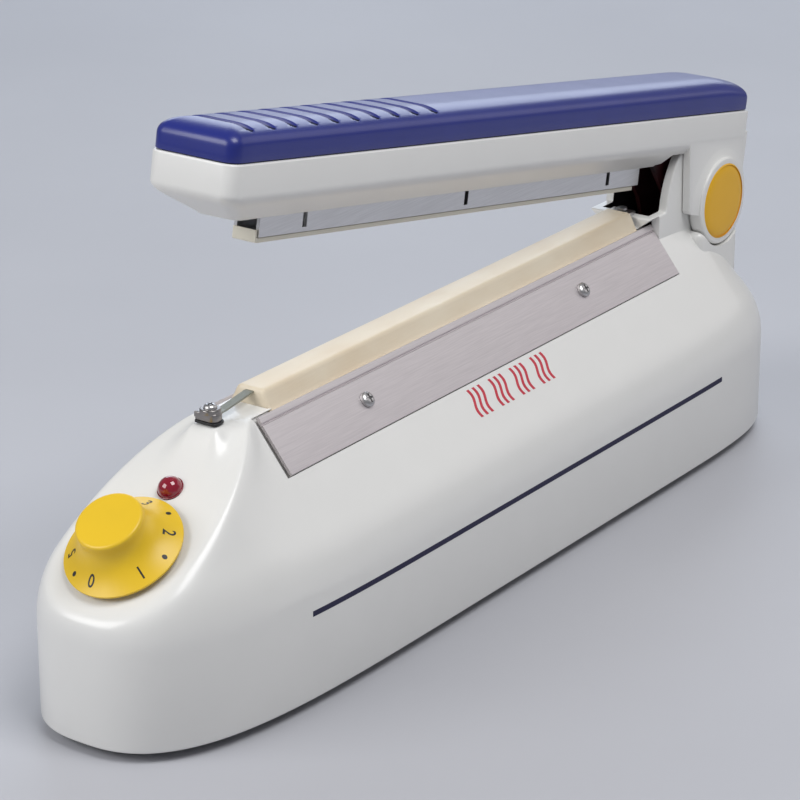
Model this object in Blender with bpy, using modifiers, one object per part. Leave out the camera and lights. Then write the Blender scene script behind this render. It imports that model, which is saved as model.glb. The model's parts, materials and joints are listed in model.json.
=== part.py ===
"""Impulse heat sealer, built as separate pieces in one Blender scene.

Dimensions are millimetres here; the mesh helpers turn them into metres.
-Y is the front (knob end), +Y the rear (hinge end), +X the right side and +Z up.
The arm's pieces are drawn with the arm closed, and their parent empty on the
hinge axis then swings them up to the sprung-open rest position.
"""
import math

import bmesh
import bpy
from mathutils import Matrix, Vector

MM = 0.001
GAP = 0.3                       # clearance between neighbouring pieces

# Housing: plan outline, side profile and control panel
BODY_HALF_WIDTH = 40.55
NOSE_Y = -182.0
REAR_Y = 182.0
PLAN_CENTRE_Y = 10.5
FRONT_POWERS = (5.83, 2.61)     # superellipse powers along and across, front half
REAR_POWERS = (9.57, 2.49)
FOOT_HEIGHT = 3.0               # the housing's lower edge stands this high
WALL_TOP = 35.0                 # where the upright wall starts to round over
SHOULDER_RADIUS = 28.5
SLOPE = 1.25                    # rise of the sloping sides per mm inwards
PANEL_ANGLE = math.radians(31.0)
PANEL_EDGE_Z = 42.4
RIDGE_Z = 84.3
PANEL_BLEND = 5.0
WALL = 3.0
SPINE_Y = (-106.3, 150.0)       # line that the plan sections shrink towards

# Hinge, tower and shoulder
HINGE_Y = 160.3
HINGE_Z = 85.4
OPEN_ANGLE = math.radians(10.28)
TOWER_HALF = 12.8
TOWER_INNER_HALF = 9.6
TOWER_RADIUS = 31.3
TOWER_REAR_Y = 170.5
BOSS_RADIUS = 16.0
PIN_RADIUS = 3.0

# Seal bar
SEAL_TOP = 89.7
SEAL_HALF = 4.9
SEAL_Y = (-96.7, 116.7)
TERMINAL_Y = -117.8             # middle of the front terminal
CLAMP_TOP = (9.1, RIDGE_Z)      # upper and lower edge of a sheet clamp, X and Z
CLAMP_LOW = (21.8, 68.4)
CLAMP_Y = (-106.0, 124.0)
CLAMP_THICK = 1.0
CLAMP_SCREWS_Y = (-58.5, 69.0)

# Arm, drawn closed
ARM_HALF = 16.3
ARM_Y = (-135.0, 175.4)
PARTING_Z = 117.4
ARM_WALL_Z = 106.6              # below this the arm tapers inwards
KEEL_Z = 98.5
KEEL_HALF = 8.4
KEEL_Y = (-121.0, 126.5)
COVER_FALL_Y = 155.0            # behind this the cover's top falls away
CROWN = 10.6                    # the cover's height at mid length
GROOVE_DEPTH = 1.4              # below the crown
GROOVE_HALF = 11.0
GROOVE_PITCH = 10.7
GROOVE_COUNT = 10
FIRST_GROOVE_Y = -123.0

# Press bar, drawn closed
BAR_HALF = 4.8
BAR_Y = (-104.0, 120.0)
BAR_BOTTOM = 91.7
BAR_TOP = 106.5
BAR_SLOTS_Y = (-81.0, 8.4, 98.5)
PAD_BOTTOM = SEAL_TOP + 0.25

# Controls
KNOB_Y = -158.5
KNOB_RADIUS = 18.8
KNOB_HEIGHT = 15.2
KNOB_TOP_RADIUS = 10.8
LAMP_Y = -137.2
LAMP_RADIUS = 4.2

MODEL = None
CUTTERS = None


# ---------------------------------------------------------------- helpers

def clear_scene():
    for obj in list(bpy.data.objects):
        bpy.data.objects.remove(obj)


def new_collection(name):
    group = bpy.data.collections.new(name)
    bpy.context.scene.collection.children.link(group)
    return group


def material(name, colour, roughness, metallic=0.0):
    found = bpy.data.materials.get(name)
    if found:
        return found
    made = bpy.data.materials.new(name)
    made.use_nodes = True
    shader = made.node_tree.nodes["Principled BSDF"]
    shader.inputs["Base Color"].default_value = (*colour, 1.0)
    shader.inputs["Roughness"].default_value = roughness
    shader.inputs["Metallic"].default_value = metallic
    made.diffuse_color = (*colour, 1.0)
    return made


def ivory_plastic():
    return material("ivory_plastic", (0.80, 0.80, 0.77), 0.35)


def blue_grip():
    return material("blue_grip", (0.035, 0.035, 0.30), 0.45)


def yellow_plastic():
    return material("yellow_plastic", (0.80, 0.45, 0.03), 0.35)


def red_lens():
    return material("red_lens", (0.45, 0.01, 0.03), 0.1)


def ptfe_cloth():
    return material("ptfe_cloth", (0.72, 0.62, 0.48), 0.5)


def silicone():
    return material("silicone", (0.80, 0.76, 0.66), 0.6)


def satin_steel():
    return material("satin_steel", (0.62, 0.60, 0.60), 0.35, 1.0)


def aluminium():
    return material("aluminium", (0.72, 0.72, 0.74), 0.32, 1.0)


def black_steel():
    return material("black_steel", (0.03, 0.03, 0.035), 0.45, 0.8)


def brass():
    return material("brass", (0.70, 0.50, 0.20), 0.35, 1.0)


def black_plastic():
    return material("black_plastic", (0.02, 0.02, 0.022), 0.5)


def rubber():
    return material("rubber", (0.03, 0.03, 0.03), 0.8)


def copper_winding():
    return material("copper_winding", (0.45, 0.16, 0.06), 0.4, 0.6)


def circuit_board():
    return material("circuit_board", (0.05, 0.22, 0.09), 0.5)


def spring_steel():
    return material("spring_steel", (0.50, 0.50, 0.52), 0.3, 1.0)


def add_object(name, mesh, mat=None):
    """Link a mesh as a part, or as a cutter when it has no material."""
    obj = bpy.data.objects.new(name, mesh)
    if mat is None:
        CUTTERS.objects.link(obj)
        obj.hide_render = True
        obj.display_type = "WIRE"
    else:
        MODEL.objects.link(obj)
        mesh.materials.append(mat)
    return obj


def mesh_from_bmesh(name, bm):
    mesh = bpy.data.meshes.new(name)
    bm.to_mesh(mesh)
    bm.free()
    return mesh


def shade_round(obj, angle=35.0):
    obj.data.shade_smooth()
    obj.data.set_sharp_from_angle(angle=math.radians(angle))
    return obj


def bevelled(obj, width, segments=2):
    bevel = obj.modifiers.new("Bevel", "BEVEL")
    bevel.width = width * MM
    bevel.segments = segments
    bevel.limit_method = "ANGLE"
    bevel.angle_limit = math.radians(40.0)
    return obj


def box(name, x, y, z, mat=None, bevel=0.0):
    """A block between pairs of limits along X, Y and Z."""
    bm = bmesh.new()
    bmesh.ops.create_cube(bm, size=1.0)
    size = Vector((x[1] - x[0], y[1] - y[0], z[1] - z[0])) * MM
    centre = Vector((x[0] + x[1], y[0] + y[1], z[0] + z[1])) * (MM / 2)
    bmesh.ops.transform(bm, matrix=Matrix.Translation(centre) @ Matrix.Diagonal((*size, 1.0)),
                        verts=bm.verts)
    obj = add_object(name, mesh_from_bmesh(name, bm), mat)
    if bevel:
        bevelled(obj, bevel)
    return obj


def rod(name, radius, start, end, mat=None, segments=24):
    """A cylinder from one point to another."""
    start = Vector(start) * MM
    end = Vector(end) * MM
    along = end - start
    bm = bmesh.new()
    bmesh.ops.create_cone(bm, cap_ends=True, segments=segments, radius1=radius * MM,
                          radius2=radius * MM, depth=along.length)
    turn = Vector((0.0, 0.0, 1.0)).rotation_difference(along).to_matrix().to_4x4()
    bmesh.ops.transform(bm, matrix=Matrix.Translation((start + end) / 2) @ turn, verts=bm.verts)
    return shade_round(add_object(name, mesh_from_bmesh(name, bm), mat))


def turned(name, profile, mat=None, steps=32, ring=False):
    """A solid of revolution about local Z; the profile runs down its outer side.

    A ring's profile closes on itself; any other starts and ends on the axis.
    """
    mesh = bpy.data.meshes.new(name)
    verts = [(radius * MM, 0.0, height * MM) for radius, height in profile]
    edges = [(i, i + 1) for i in range(len(verts) - 1)]
    if ring:
        edges.append((len(verts) - 1, 0))
    mesh.from_pydata(verts, edges, [])
    obj = add_object(name, mesh, mat)
    screw = obj.modifiers.new("Screw", "SCREW")
    screw.steps = steps
    screw.render_steps = steps
    screw.use_merge_vertices = True
    screw.merge_threshold = 0.00001
    screw.use_smooth_shade = True
    return obj


def side_plate(name, outline, x, mat=None):
    """A flat outline in the YZ plane, given as (y, z) points, between two X values."""
    curve = bpy.data.curves.new(name, "CURVE")
    curve.dimensions = "2D"
    curve.fill_mode = "BOTH"
    curve.extrude = (x[1] - x[0]) / 2 * MM
    spline = curve.splines.new("POLY")
    spline.points.add(len(outline) - 1)
    for point, (y, z) in zip(spline.points, outline):
        point.co = (y * MM, z * MM, 0.0, 1.0)
    spline.use_cyclic_u = True
    middle = Matrix.Translation(((x[0] + x[1]) / 2 * MM, 0.0, 0.0))
    upright = Matrix(((0, 0, 1, 0), (1, 0, 0, 0), (0, 1, 0, 0), (0, 0, 0, 1)))
    return mesh_from_curve(name, curve, middle @ upright, mat)


def mesh_from_curve(name, curve, matrix, mat):
    """Turn a curve into a welded, closed mesh object and drop the curve."""
    guide = bpy.data.objects.new(name + "_curve", curve)
    CUTTERS.objects.link(guide)
    bpy.context.view_layer.update()
    evaluated = guide.evaluated_get(bpy.context.evaluated_depsgraph_get())
    mesh = bpy.data.meshes.new_from_object(evaluated)
    bpy.data.objects.remove(guide)
    mesh.name = name
    bm = bmesh.new()
    bm.from_mesh(mesh)
    bmesh.ops.remove_doubles(bm, verts=bm.verts, dist=0.00001)
    bmesh.ops.transform(bm, matrix=matrix, verts=bm.verts)
    bmesh.ops.recalc_face_normals(bm, faces=bm.faces)
    bm.to_mesh(mesh)
    bm.free()
    mesh.materials.clear()
    return add_object(name, mesh, mat)


def wire(name, points, radius, mat, matrix=None):
    """A round wire along a list of points."""
    curve = bpy.data.curves.new(name, "CURVE")
    curve.dimensions = "3D"
    curve.bevel_depth = radius * MM
    curve.bevel_resolution = 2
    curve.use_fill_caps = True
    spline = curve.splines.new("POLY")
    spline.points.add(len(points) - 1)
    for point, place in zip(spline.points, points):
        point.co = (*(value * MM for value in place), 1.0)
    return shade_round(mesh_from_curve(name, curve, matrix or Matrix(), mat))


def boolean(target, other, operation):
    modifier = target.modifiers.new(other.name, "BOOLEAN")
    modifier.operation = operation
    modifier.solver = "EXACT"
    modifier.object = other
    return target


def cut(target, *cutters):
    for cutter in cutters:
        boolean(target, cutter, "DIFFERENCE")
    return target


def join(target, *pieces):
    """Unite helper solids, made without a material, with a part."""
    for piece in pieces:
        boolean(target, piece, "UNION")
    return target


def attach(empty, rest_matrix, *pieces):
    """Parent pieces that are drawn in the world to an empty's rest matrix."""
    for piece in pieces:
        piece.parent = empty
        piece.matrix_parent_inverse = rest_matrix.inverted()


def pivot(name, matrix):
    empty = bpy.data.objects.new(name, None)
    empty.matrix_world = matrix
    MODEL.objects.link(empty)
    return empty


def arc(centre, radius, start, end, count):
    """Points along a circular arc, angles in degrees."""
    angles = [math.radians(start + (end - start) * i / (count - 1)) for i in range(count)]
    return [(centre[0] + radius * math.cos(a), centre[1] + radius * math.sin(a)) for a in angles]


def cap_ring(bm, row, first):
    """Close a left-right symmetric ring with cross strips, from its point first on."""
    count = len(row)
    for step in range(count // 2 - 1):
        left, right = (first - step) % count, (first + 1 + step) % count
        bm.faces.new((row[left], row[right], row[(right + 1) % count], row[(left - 1) % count]))


def loft(name, rings, mat=None, first=None):
    """A closed solid through rings of equal point counts, listed from bottom to top.

    The ends are closed by cross strips when first names the point just right of the
    ring's rearmost place, and by flat caps otherwise.
    """
    bm = bmesh.new()
    rows = [[bm.verts.new(Vector(point) * MM) for point in ring] for ring in rings]
    count = len(rows[0])
    for low, high in zip(rows, rows[1:]):
        for i in range(count):
            j = (i + 1) % count
            bm.faces.new((low[i], low[j], high[j], high[i]))
    for row in (rows[0], rows[-1]):
        if first is None:
            bm.faces.new(row)
        else:
            cap_ring(bm, row, first)
    bmesh.ops.recalc_face_normals(bm, faces=bm.faces)
    return add_object(name, mesh_from_bmesh(name, bm), mat)


CORNER_POINTS = 5


def rounded_outline(half_width, y, front_radius, rear_radius, sides=()):
    """Points of a rounded rectangle in plan, anticlockwise seen from above.

    sides lists further places along Y where the straight sides get a point.
    """
    points = []
    corners = ((half_width - rear_radius, y[1] - rear_radius, rear_radius, 0.0),
               (-half_width + rear_radius, y[1] - rear_radius, rear_radius, 90.0),
               (-half_width + front_radius, y[0] + front_radius, front_radius, 180.0),
               (half_width - front_radius, y[0] + front_radius, front_radius, 270.0))
    for x, centre_y, radius, start in corners:
        points += arc((x, centre_y), radius, start, start + 90.0, CORNER_POINTS)
        if start == 90.0:
            points += [(-half_width, place) for place in reversed(sides)]
    return points + [(half_width, place) for place in sides]


# ---------------------------------------------------------------- housing

def plan_outline(inset=0.0, per_quarter=13):
    """The housing's outline in plan, a superellipse with unlike front and rear halves."""
    points = []
    half = BODY_HALF_WIDTH - inset
    for quarter in range(4):
        rear = quarter in (0, 1)
        along, across = REAR_POWERS if rear else FRONT_POWERS
        reach = (REAR_Y - PLAN_CENTRE_Y if rear else PLAN_CENTRE_Y - NOSE_Y) - inset
        for i in range(per_quarter):
            angle = math.pi / 2 * (quarter + (i + 0.5) / per_quarter)
            x = abs(math.cos(angle)) ** (2 / across) * math.copysign(half, math.cos(angle))
            y = abs(math.sin(angle)) ** (2 / along) * math.copysign(reach, math.sin(angle))
            points.append((x, PLAN_CENTRE_Y + y))
    return points


def side_height(depth):
    """Height of the housing's side at a distance inwards from its outline."""
    turn = math.atan(1 / SLOPE)
    tangent = SHOULDER_RADIUS * (1 - math.cos(turn))
    if depth >= tangent:
        return WALL_TOP + SHOULDER_RADIUS * math.sin(turn) + SLOPE * (depth - tangent)
    return WALL_TOP + SHOULDER_RADIUS * math.sin(math.acos(1 - depth / SHOULDER_RADIUS))


def soft_min(a, b, width):
    overlap = max(width - abs(a - b), 0.0) / width
    return min(a, b) - overlap * overlap * width / 4


def panel_height(y):
    return PANEL_EDGE_Z + (y - NOSE_Y) * math.tan(PANEL_ANGLE)


def housing_height(depth, y, drop, top):
    height = soft_min(side_height(depth), panel_height(y), PANEL_BLEND)
    return soft_min(height - drop, top, 2.0)


def housing_loft(name, inset, drop, top, bottom, mat=None, per_quarter=13):
    """The housing's outer form, or the hollow inside it when inset and lowered."""
    outline = plan_outline(inset, per_quarter)
    rings = [[(x, y, bottom) for x, y in outline]]
    for depth in (0.0, 0.5, 1.8, 3.8, 6.3, 11.0, 17.0, 23.0, 28.5, 31.5, 34.0, 37.0):
        share = 1.0 - depth / BODY_HALF_WIDTH
        ring = []
        for x, y in outline:
            spine = min(max(y, SPINE_Y[0]), SPINE_Y[1])
            reach = math.hypot(x, y - spine)
            place = (x * share, spine + (y - spine) * share)
            height = housing_height(reach * (1.0 - share), place[1], drop, top)
            ring.append((*place, height))
        rings.append(ring)
    return loft(name, rings, mat, first=per_quarter - 1)


def tower_outline():
    """The hinge tower's side view: a low front step, then a drum about the hinge."""
    hinge = (HINGE_Y, HINGE_Z)
    drum_top = 66.0
    return ([(118.5, 62.0), (118.5, 88.0), (HINGE_Y - TOWER_RADIUS, 88.0)]
            + arc(hinge, TOWER_RADIUS, 170.0, 180.0 - drum_top, 9)
            + arc(hinge, TOWER_RADIUS - 2.0, 90.0, 78.0, 3)
            + [(TOWER_REAR_Y, 108.0), (TOWER_REAR_Y, 56.0)])


def slope_frame(y):
    """Matrix with its origin at the middle of the right clamp and Z out of the slope."""
    middle = Vector(((CLAMP_TOP[0] + CLAMP_LOW[0]) / 2, y, (CLAMP_TOP[1] + CLAMP_LOW[1]) / 2))
    tilt = Matrix.Rotation(math.atan(SLOPE), 4, "Y")
    return Matrix.Translation(middle * MM) @ tilt


def clamp_length():
    return math.hypot(CLAMP_LOW[0] - CLAMP_TOP[0], CLAMP_LOW[1] - CLAMP_TOP[1])


def slope_box(name, x, y, z, side, mat=None):
    """A block lying on the sloping side; side is 1 for the right and -1 for the left."""
    obj = box(name, x, y, z, mat)
    obj.data.transform(slope_frame(0.0))
    if side < 0:
        mirror_mesh(obj)
    return obj


def mirror_mesh(obj):
    obj.data.transform(Matrix.Diagonal((-1.0, 1.0, 1.0, 1.0)))
    obj.data.flip_normals()


def slope_rod(name, radius, y, z, side, mat=None, segments=16):
    obj = rod(name, radius, (0, 0, z[0]), (0, 0, z[1]), mat, segments)
    obj.data.transform(slope_frame(y))
    if side < 0:
        mirror_mesh(obj)
    return obj


SIDES = (("right", 1), ("left", -1))
BOSS_PLACES = [(x, y) for y in (-104.0, 112.0) for x in (33.5, -33.5)]
FOOT_PLACES = [(x, y) for y in (-134.0, 146.0) for x in (22.0, -22.0)]


def panel_matrix(y):
    """Matrix at a point of the control panel's centre line, Z square to the panel."""
    place = Vector((0.0, y, panel_height(y))) * MM
    return Matrix.Translation(place) @ Matrix.Rotation(PANEL_ANGLE, 4, "X")


def panel_rod(name, radius, y, z):
    obj = rod(name, radius, (0, 0, z[0]), (0, 0, z[1]))
    obj.data.transform(panel_matrix(y))
    return obj


def make_housing():
    housing = housing_loft("housing", 0.0, 0.0, RIDGE_Z, FOOT_HEIGHT, ivory_plastic())
    hollow = housing_loft("hollow", WALL, WALL, RIDGE_Z - 9.0, -5.0, per_quarter=9)
    for number, (x, y) in enumerate(BOSS_PLACES):
        boss = rod(f"boss_{number}", 4.5, (x, y, 6.0), (x, y, 34.0), segments=16)
        cut(hollow, boss)
    for side_name, side in SIDES:
        for number, y in enumerate(CLAMP_SCREWS_Y):
            cut(hollow, slope_rod(f"clamp_boss_{side_name}_{number}", 3.4, y, (-9.0, 3.0), side))
    cut(housing, hollow)
    tower = side_plate("tower", tower_outline(), (-TOWER_HALF, TOWER_HALF))
    shoulder = box("shoulder", (-18.9, 18.9), (144.0, 171.5), (50.0, 77.0), bevel=2.5)
    inlet = rod("inlet_boss", 11.0, (0, 166.0, 20.0), (0, 180.5, 20.0))
    stand = box("terminal_stand", (-5.0, 5.0), (TERMINAL_Y - 3.4, -108.0), (73.0, RIDGE_Z), bevel=1.2)
    join(housing, tower, shoulder, inlet, stand)
    cut(housing, box("tower_hollow", (-TOWER_INNER_HALF, TOWER_INNER_HALF), (122.0, 167.5),
                     (45.0, 120.0)))
    for side_name, side in SIDES:
        x = (TOWER_HALF + 0.2, 19.5)
        recess = rod(f"boss_recess_{side_name}", BOSS_RADIUS + 0.7, (side * x[0], HINGE_Y, HINGE_Z),
                     (side * x[1], HINGE_Y, HINGE_Z), segments=48)
        half = clamp_length() / 2
        seat = slope_box(f"clamp_seat_{side_name}", (-half - 0.7, half + GAP),
                         (CLAMP_Y[0] - 1.5, CLAMP_Y[1] + GAP), (-2.2, 12.0), side)
        cut(housing, recess, seat)
        for number, y in enumerate(CLAMP_SCREWS_Y):
            cut(housing, slope_rod(f"clamp_bore_{side_name}_{number}", 1.6, y, (-7.5, 3.0), side))
    cut(housing,
        box("bar_slot", (-7.0, 7.0), (SEAL_Y[0] - 1.8, SEAL_Y[1] + 0.3), (60.0, 96.0)),
        box("sheet_slot", (-8.7, 8.7), (SEAL_Y[0] - 0.6, SEAL_Y[1] + 0.3), (82.2, 96.0)),
        rod("terminal_screw_bore", 1.6, (0, TERMINAL_Y, 79.2), (0, TERMINAL_Y, 90.0), segments=16),
        rod("bush_bore", 4.8, (-14.0, HINGE_Y, HINGE_Z), (14.0, HINGE_Y, HINGE_Z)),
        panel_rod("spindle_bore", 4.2, KNOB_Y, (-8.0, 4.0)),
        panel_rod("lamp_bore", 4.2, LAMP_Y, (-8.0, 4.0)),
        rod("gland_pocket", 8.6, (0, 179.6, 20.0), (0, 184.0, 20.0)),
        rod("gland_bore", 5.6, (0, 160.0, 20.0), (0, 184.0, 20.0)))
    for number, (x, y) in enumerate(BOSS_PLACES):
        cut(housing, rod(f"boss_bore_{number}", 1.7, (x, y, 0.0), (x, y, 20.0), segments=16))
    return housing


def make_base():
    """The steel plate that closes the housing, its screws and its rubber feet."""
    outline = plan_outline(WALL + 0.6, 9)
    plate = loft("base_plate", [[(x, y, z) for x, y in outline] for z in (4.0, 5.5)],
                 satin_steel())
    for number, (x, y) in enumerate(BOSS_PLACES):
        cut(plate, rod(f"plate_hole_{number}", 1.8, (x, y, 3.0), (x, y, 7.0), segments=16))
        head = rod(f"base_screw_{number + 1}", 3.0, (x, y, 2.0), (x, y, 3.7), satin_steel(), 16)
        join(head, rod(f"base_shank_{number}", 1.35, (x, y, 3.0), (x, y, 18.0), segments=12))
    for number, (x, y) in enumerate(FOOT_PLACES):
        bevelled(rod(f"foot_{number + 1}", 7.0, (x, y, 0.0), (x, y, 3.7), rubber()), 0.5, 1)


# ---------------------------------------------------------------- seal bar

def make_seal_bar():
    y = (SEAL_Y[0] - 1.3, SEAL_Y[1] - 0.2)
    carrier = box("seal_bar_carrier", (-6.6, 6.6), y, (74.5, 84.6), aluminium())
    join(carrier, box("carrier_head", (-4.2, 4.2), (y[0], y[1] - 2.5), (80.0, 86.9)))
    box("insulator_strip", (-4.0, 4.0), (y[0], y[1] - 2.5), (87.2, 87.8), ptfe_cloth())
    front = TERMINAL_Y + 3.1
    ribbon = [(front, 86.4), (front + 3.0, 86.4), (-99.0, 88.1), (114.0, 88.1), (117.0, 86.6),
              (117.0, 87.3), (114.2, 88.7), (-99.2, 88.7), (front + 2.8, 87.0), (front, 87.0)]
    side_plate("heater_ribbon", ribbon, (-1.5, 1.5), satin_steel())
    make_sheet()
    for side_name, side in SIDES:
        make_clamp(side_name, side)
    make_terminals()


def make_sheet():
    """The release sheet: over the bar's top, down both flanks and under the clamps."""
    outer = [(SEAL_HALF, SEAL_TOP), (8.0, 83.6), (11.5, 79.2)]
    inner = [(11.1, 78.9), (7.6, 83.3), (SEAL_HALF - 0.25, SEAL_TOP - 0.6)]
    half = outer + inner
    outline = [(-x, z) for x, z in reversed(half[:3])] + half + [(-x, z) for x, z in reversed(half[3:])]
    rings = [[(x, y, z) for x, z in outline] for y in SEAL_Y]
    loft("ptfe_sheet", rings, ptfe_cloth())


def make_clamp(side_name, side):
    """A metal plate that holds the sheet's edge, with its two screws."""
    half = clamp_length() / 2
    clamp = slope_box(f"sheet_clamp_{side_name}", (-half, half), CLAMP_Y, (-CLAMP_THICK, 0.0),
                      side, satin_steel())
    for number, (place, y) in enumerate(zip(("front", "rear"), CLAMP_SCREWS_Y)):
        cut(clamp, slope_rod(f"clamp_hole_{side_name}_{number}", 1.7, y, (-3.0, 3.0), side))
        screw = slope_rod(f"clamp_screw_{side_name}_{place}", 2.6, y, (GAP, 1.9), side,
                          satin_steel(), 20)
        join(screw, slope_rod(f"clamp_shank_{side_name}_{number}", 1.3, y, (-7.0, 1.0), side))


def make_terminals():
    """The clips that hold the two ends of the heater ribbon, and their screws."""
    y = TERMINAL_Y
    base = RIDGE_Z + GAP
    front = box("front_terminal", (-4.1, 4.1), (y - 2.8, y + 2.8), (base, base + 4.4),
                satin_steel(), 0.6)
    cut(front, rod("front_terminal_bore", 1.5, (0, y, 80.0), (0, y, 92.0), segments=16))
    screw = rod("front_terminal_screw", 2.4, (0, y, base + 4.7), (0, y, base + 6.3), satin_steel(), 20)
    join(screw, rod("front_shank", 1.2, (0, y, 80.0), (0, y, base + 5.0), segments=12))
    rear = box("rear_terminal", (-4.4, 4.4), (117.4, 121.6), (88.3, 89.2), satin_steel())
    cut(rear, rod("rear_terminal_bore", 1.1, (0, 119.6, 80.0), (0, 119.6, 92.0), segments=12))
    screw = rod("rear_terminal_screw", 1.9, (0, 119.6, 89.5), (0, 119.6, 90.2), satin_steel(), 16)
    join(screw, rod("rear_shank", 0.8, (0, 119.6, 88.5), (0, 119.6, 89.8), segments=12))


# ---------------------------------------------------------------- electrics

def make_transformer():
    y = (10.0, 67.0)
    z = (6.0, 53.0)
    leg = 19.0
    window = 9.5
    middle = (y[0] + y[1]) / 2
    core = box("transformer_core", (-10.0, 10.0), y, z, satin_steel())
    for number, sign in enumerate((-1, 1)):
        near = middle + sign * leg / 2
        far = middle + sign * (leg / 2 + window)
        cut(core, box(f"core_window_{number}", (-12.0, 12.0), (min(near, far), max(near, far)),
                      (z[0] + 9.0, z[1] - 9.0)))
    coil = box("transformer_coil", (-17.5, 17.5),
               (middle - leg / 2 - window + GAP, middle + leg / 2 + window - GAP),
               (z[0] + 9.0 + GAP, z[1] - 9.0 - GAP), copper_winding(), 2.0)
    cut(coil, box("coil_bore", (-10.0 - GAP, 10.0 + GAP),
                  (middle - leg / 2 - GAP, middle + leg / 2 + GAP), (z[0], z[1])))
    for number, place in enumerate((13.0, 64.0)):
        cut(core, rod(f"core_bore_{number}", 2.0, (0, place, 0.0), (0, place, 60.0), segments=16))
        bolt = rod(f"transformer_bolt_{number + 1}", 1.6, (0, place, 6.0), (0, place, 55.0),
                   satin_steel(), 12)
        join(bolt, rod(f"bolt_head_{number}", 2.9, (0, place, 53.3), (0, place, 56.0), segments=12))


def place_on_panel(matrix, *pieces):
    for piece in pieces:
        piece.matrix_world = matrix


def make_timer():
    """Potentiometer, board, relay and capacitor, set out square to the panel."""
    at_knob = panel_matrix(KNOB_Y)
    pot = turned("timer_potentiometer",
                 [(3.3, 2.7), (3.8, 2.7), (3.8, -4.6), (8.5, -4.6), (8.5, -14.0), (3.3, -14.0)],
                 black_plastic(), 24, ring=True)
    nut = turned("potentiometer_nut", [(4.7, 2.4), (5.9, 2.4), (5.9, GAP), (4.7, GAP)],
                 brass(), 6, ring=True)
    board = box("timer_board", (-18.0, 18.0), (-16.0, 39.0), (-16.0, -14.4), circuit_board())
    relay = box("relay", (-15.0, -1.0), (16.0, 35.0), (-31.0, -16.3), black_plastic(), 0.8)
    capacitor = rod("capacitor", 5.0, (8.5, 22.0, -32.0), (8.5, 22.0, -16.3), black_plastic(), 20)
    place_on_panel(at_knob, pot, nut, board, relay, capacitor)


def make_lamp():
    """The red lens in the panel, and the light-emitting diode behind it."""
    lens = turned("lamp_lens", [(0.0, 4.2)]
                  + arc((0.0, 0.2), 4.0, 80.0, 10.0, 6)
                  + [(LAMP_RADIUS, 0.9), (LAMP_RADIUS, GAP), (3.9, GAP), (3.9, -4.5), (3.2, -4.5),
                     (3.2, 1.2), (0.0, 2.4)], red_lens(), 16)
    diode = turned("lamp_diode", [(0.0, 1.6), (1.8, 0.9), (2.4, -0.8), (2.4, -6.5), (0.0, -6.5)],
                   red_lens(), 16)
    place_on_panel(panel_matrix(LAMP_Y), lens, diode)


def make_knob():
    """The timer knob and the spindle that it turns."""
    at_knob = panel_matrix(KNOB_Y)
    axis = pivot("knob_axis", at_knob)
    waist = KNOB_TOP_RADIUS - 0.3
    flare = [(waist + (KNOB_RADIUS - waist) * (1 - t) ** 2.2, 2.7 + 9.6 * t)
             for t in (1.0, 0.8, 0.6, 0.42, 0.25, 0.1, 0.0)]
    profile = ([(0.0, KNOB_HEIGHT), (KNOB_TOP_RADIUS - 1.2, KNOB_HEIGHT),
                (KNOB_TOP_RADIUS - 0.2, KNOB_HEIGHT - 0.7), (KNOB_TOP_RADIUS, KNOB_HEIGHT - 1.7)] + flare
               + [(KNOB_RADIUS, 1.9), (17.4, 1.9), (14.0, 3.0), (8.5, 5.5), (5.9, 5.5),
                  (5.9, 3.2), (3.3, 3.2), (3.3, 12.0), (0.0, 12.0)])
    knob = turned("timer_knob", profile, yellow_plastic(), 28)
    spindle = rod("knob_spindle", 3.0, (0, 0, -11.7), (0, 0, 11.7), satin_steel(), 20)
    for piece in (knob, spindle):
        piece.parent = axis


def make_inlet():
    """The cable gland in the rear wall, with an open bore for the mains lead."""
    gland = turned("cord_gland", [(3.4, 2.0), (7.4, 2.0), (8.2, 1.2), (8.2, 0.0), (5.2, 0.0),
                                  (5.2, -12.0), (3.4, -12.0)], black_plastic(), 24, ring=True)
    gland.matrix_world = (Matrix.Translation(Vector((0.0, 179.9, 20.0)) * MM)
                          @ Matrix.Rotation(-math.pi / 2, 4, "X"))


def make_switch():
    """The microswitch behind the arm's heel, its bracket and its plunger."""
    body = box("microswitch", (-3.2, 3.2), (157.5, 167.0), (56.5, 76.0), black_plastic(), 0.4)
    cut(body, rod("plunger_bore", 1.85, (0, 155.0, 72.4), (0, 164.5, 72.4), segments=16))
    bracket = box("switch_bracket", (3.5, 4.7), (158.0, 167.2), (52.0, 75.0), satin_steel())
    join(bracket, box("bracket_flange", (4.0, 9.3), (166.0, 167.2), (52.0, 75.0)))
    rod("switch_plunger", 1.5, (0, 154.7, 72.4), (0, 161.5, 72.4), yellow_plastic(), 16)


# ---------------------------------------------------------------- arm

def arm_rings(inset, keel, top):
    """Plan sections of the arm's shell, from the keel's bottom to its rim."""
    low = rounded_outline(keel[0], (keel[1], keel[2]), 3.5, 2.4)
    full = rounded_outline(ARM_HALF - inset, (ARM_Y[0] + inset, ARM_Y[1] - inset),
                           5.0 - inset, 2.4 - inset)
    bend = ARM_WALL_Z + inset * 0.45
    return [[(x, y, keel[3]) for x, y in low], [(x, y, bend) for x, y in full],
            [(x, y, top) for x, y in full]]


def ear_outline():
    """Side view of an ear: straight front and rear edges joined by the boss's round."""
    hinge = (HINGE_Y, HINGE_Z)
    return ([(134.0, 110.0)] + arc((141.6, 83.2), 2.0, 190.0, 270.0, 4)
            + arc(hinge, BOSS_RADIUS - 0.4, 197.0, 320.0, 15) + [(ARM_Y[1], 79.0), (ARM_Y[1], 110.0)])


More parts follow.
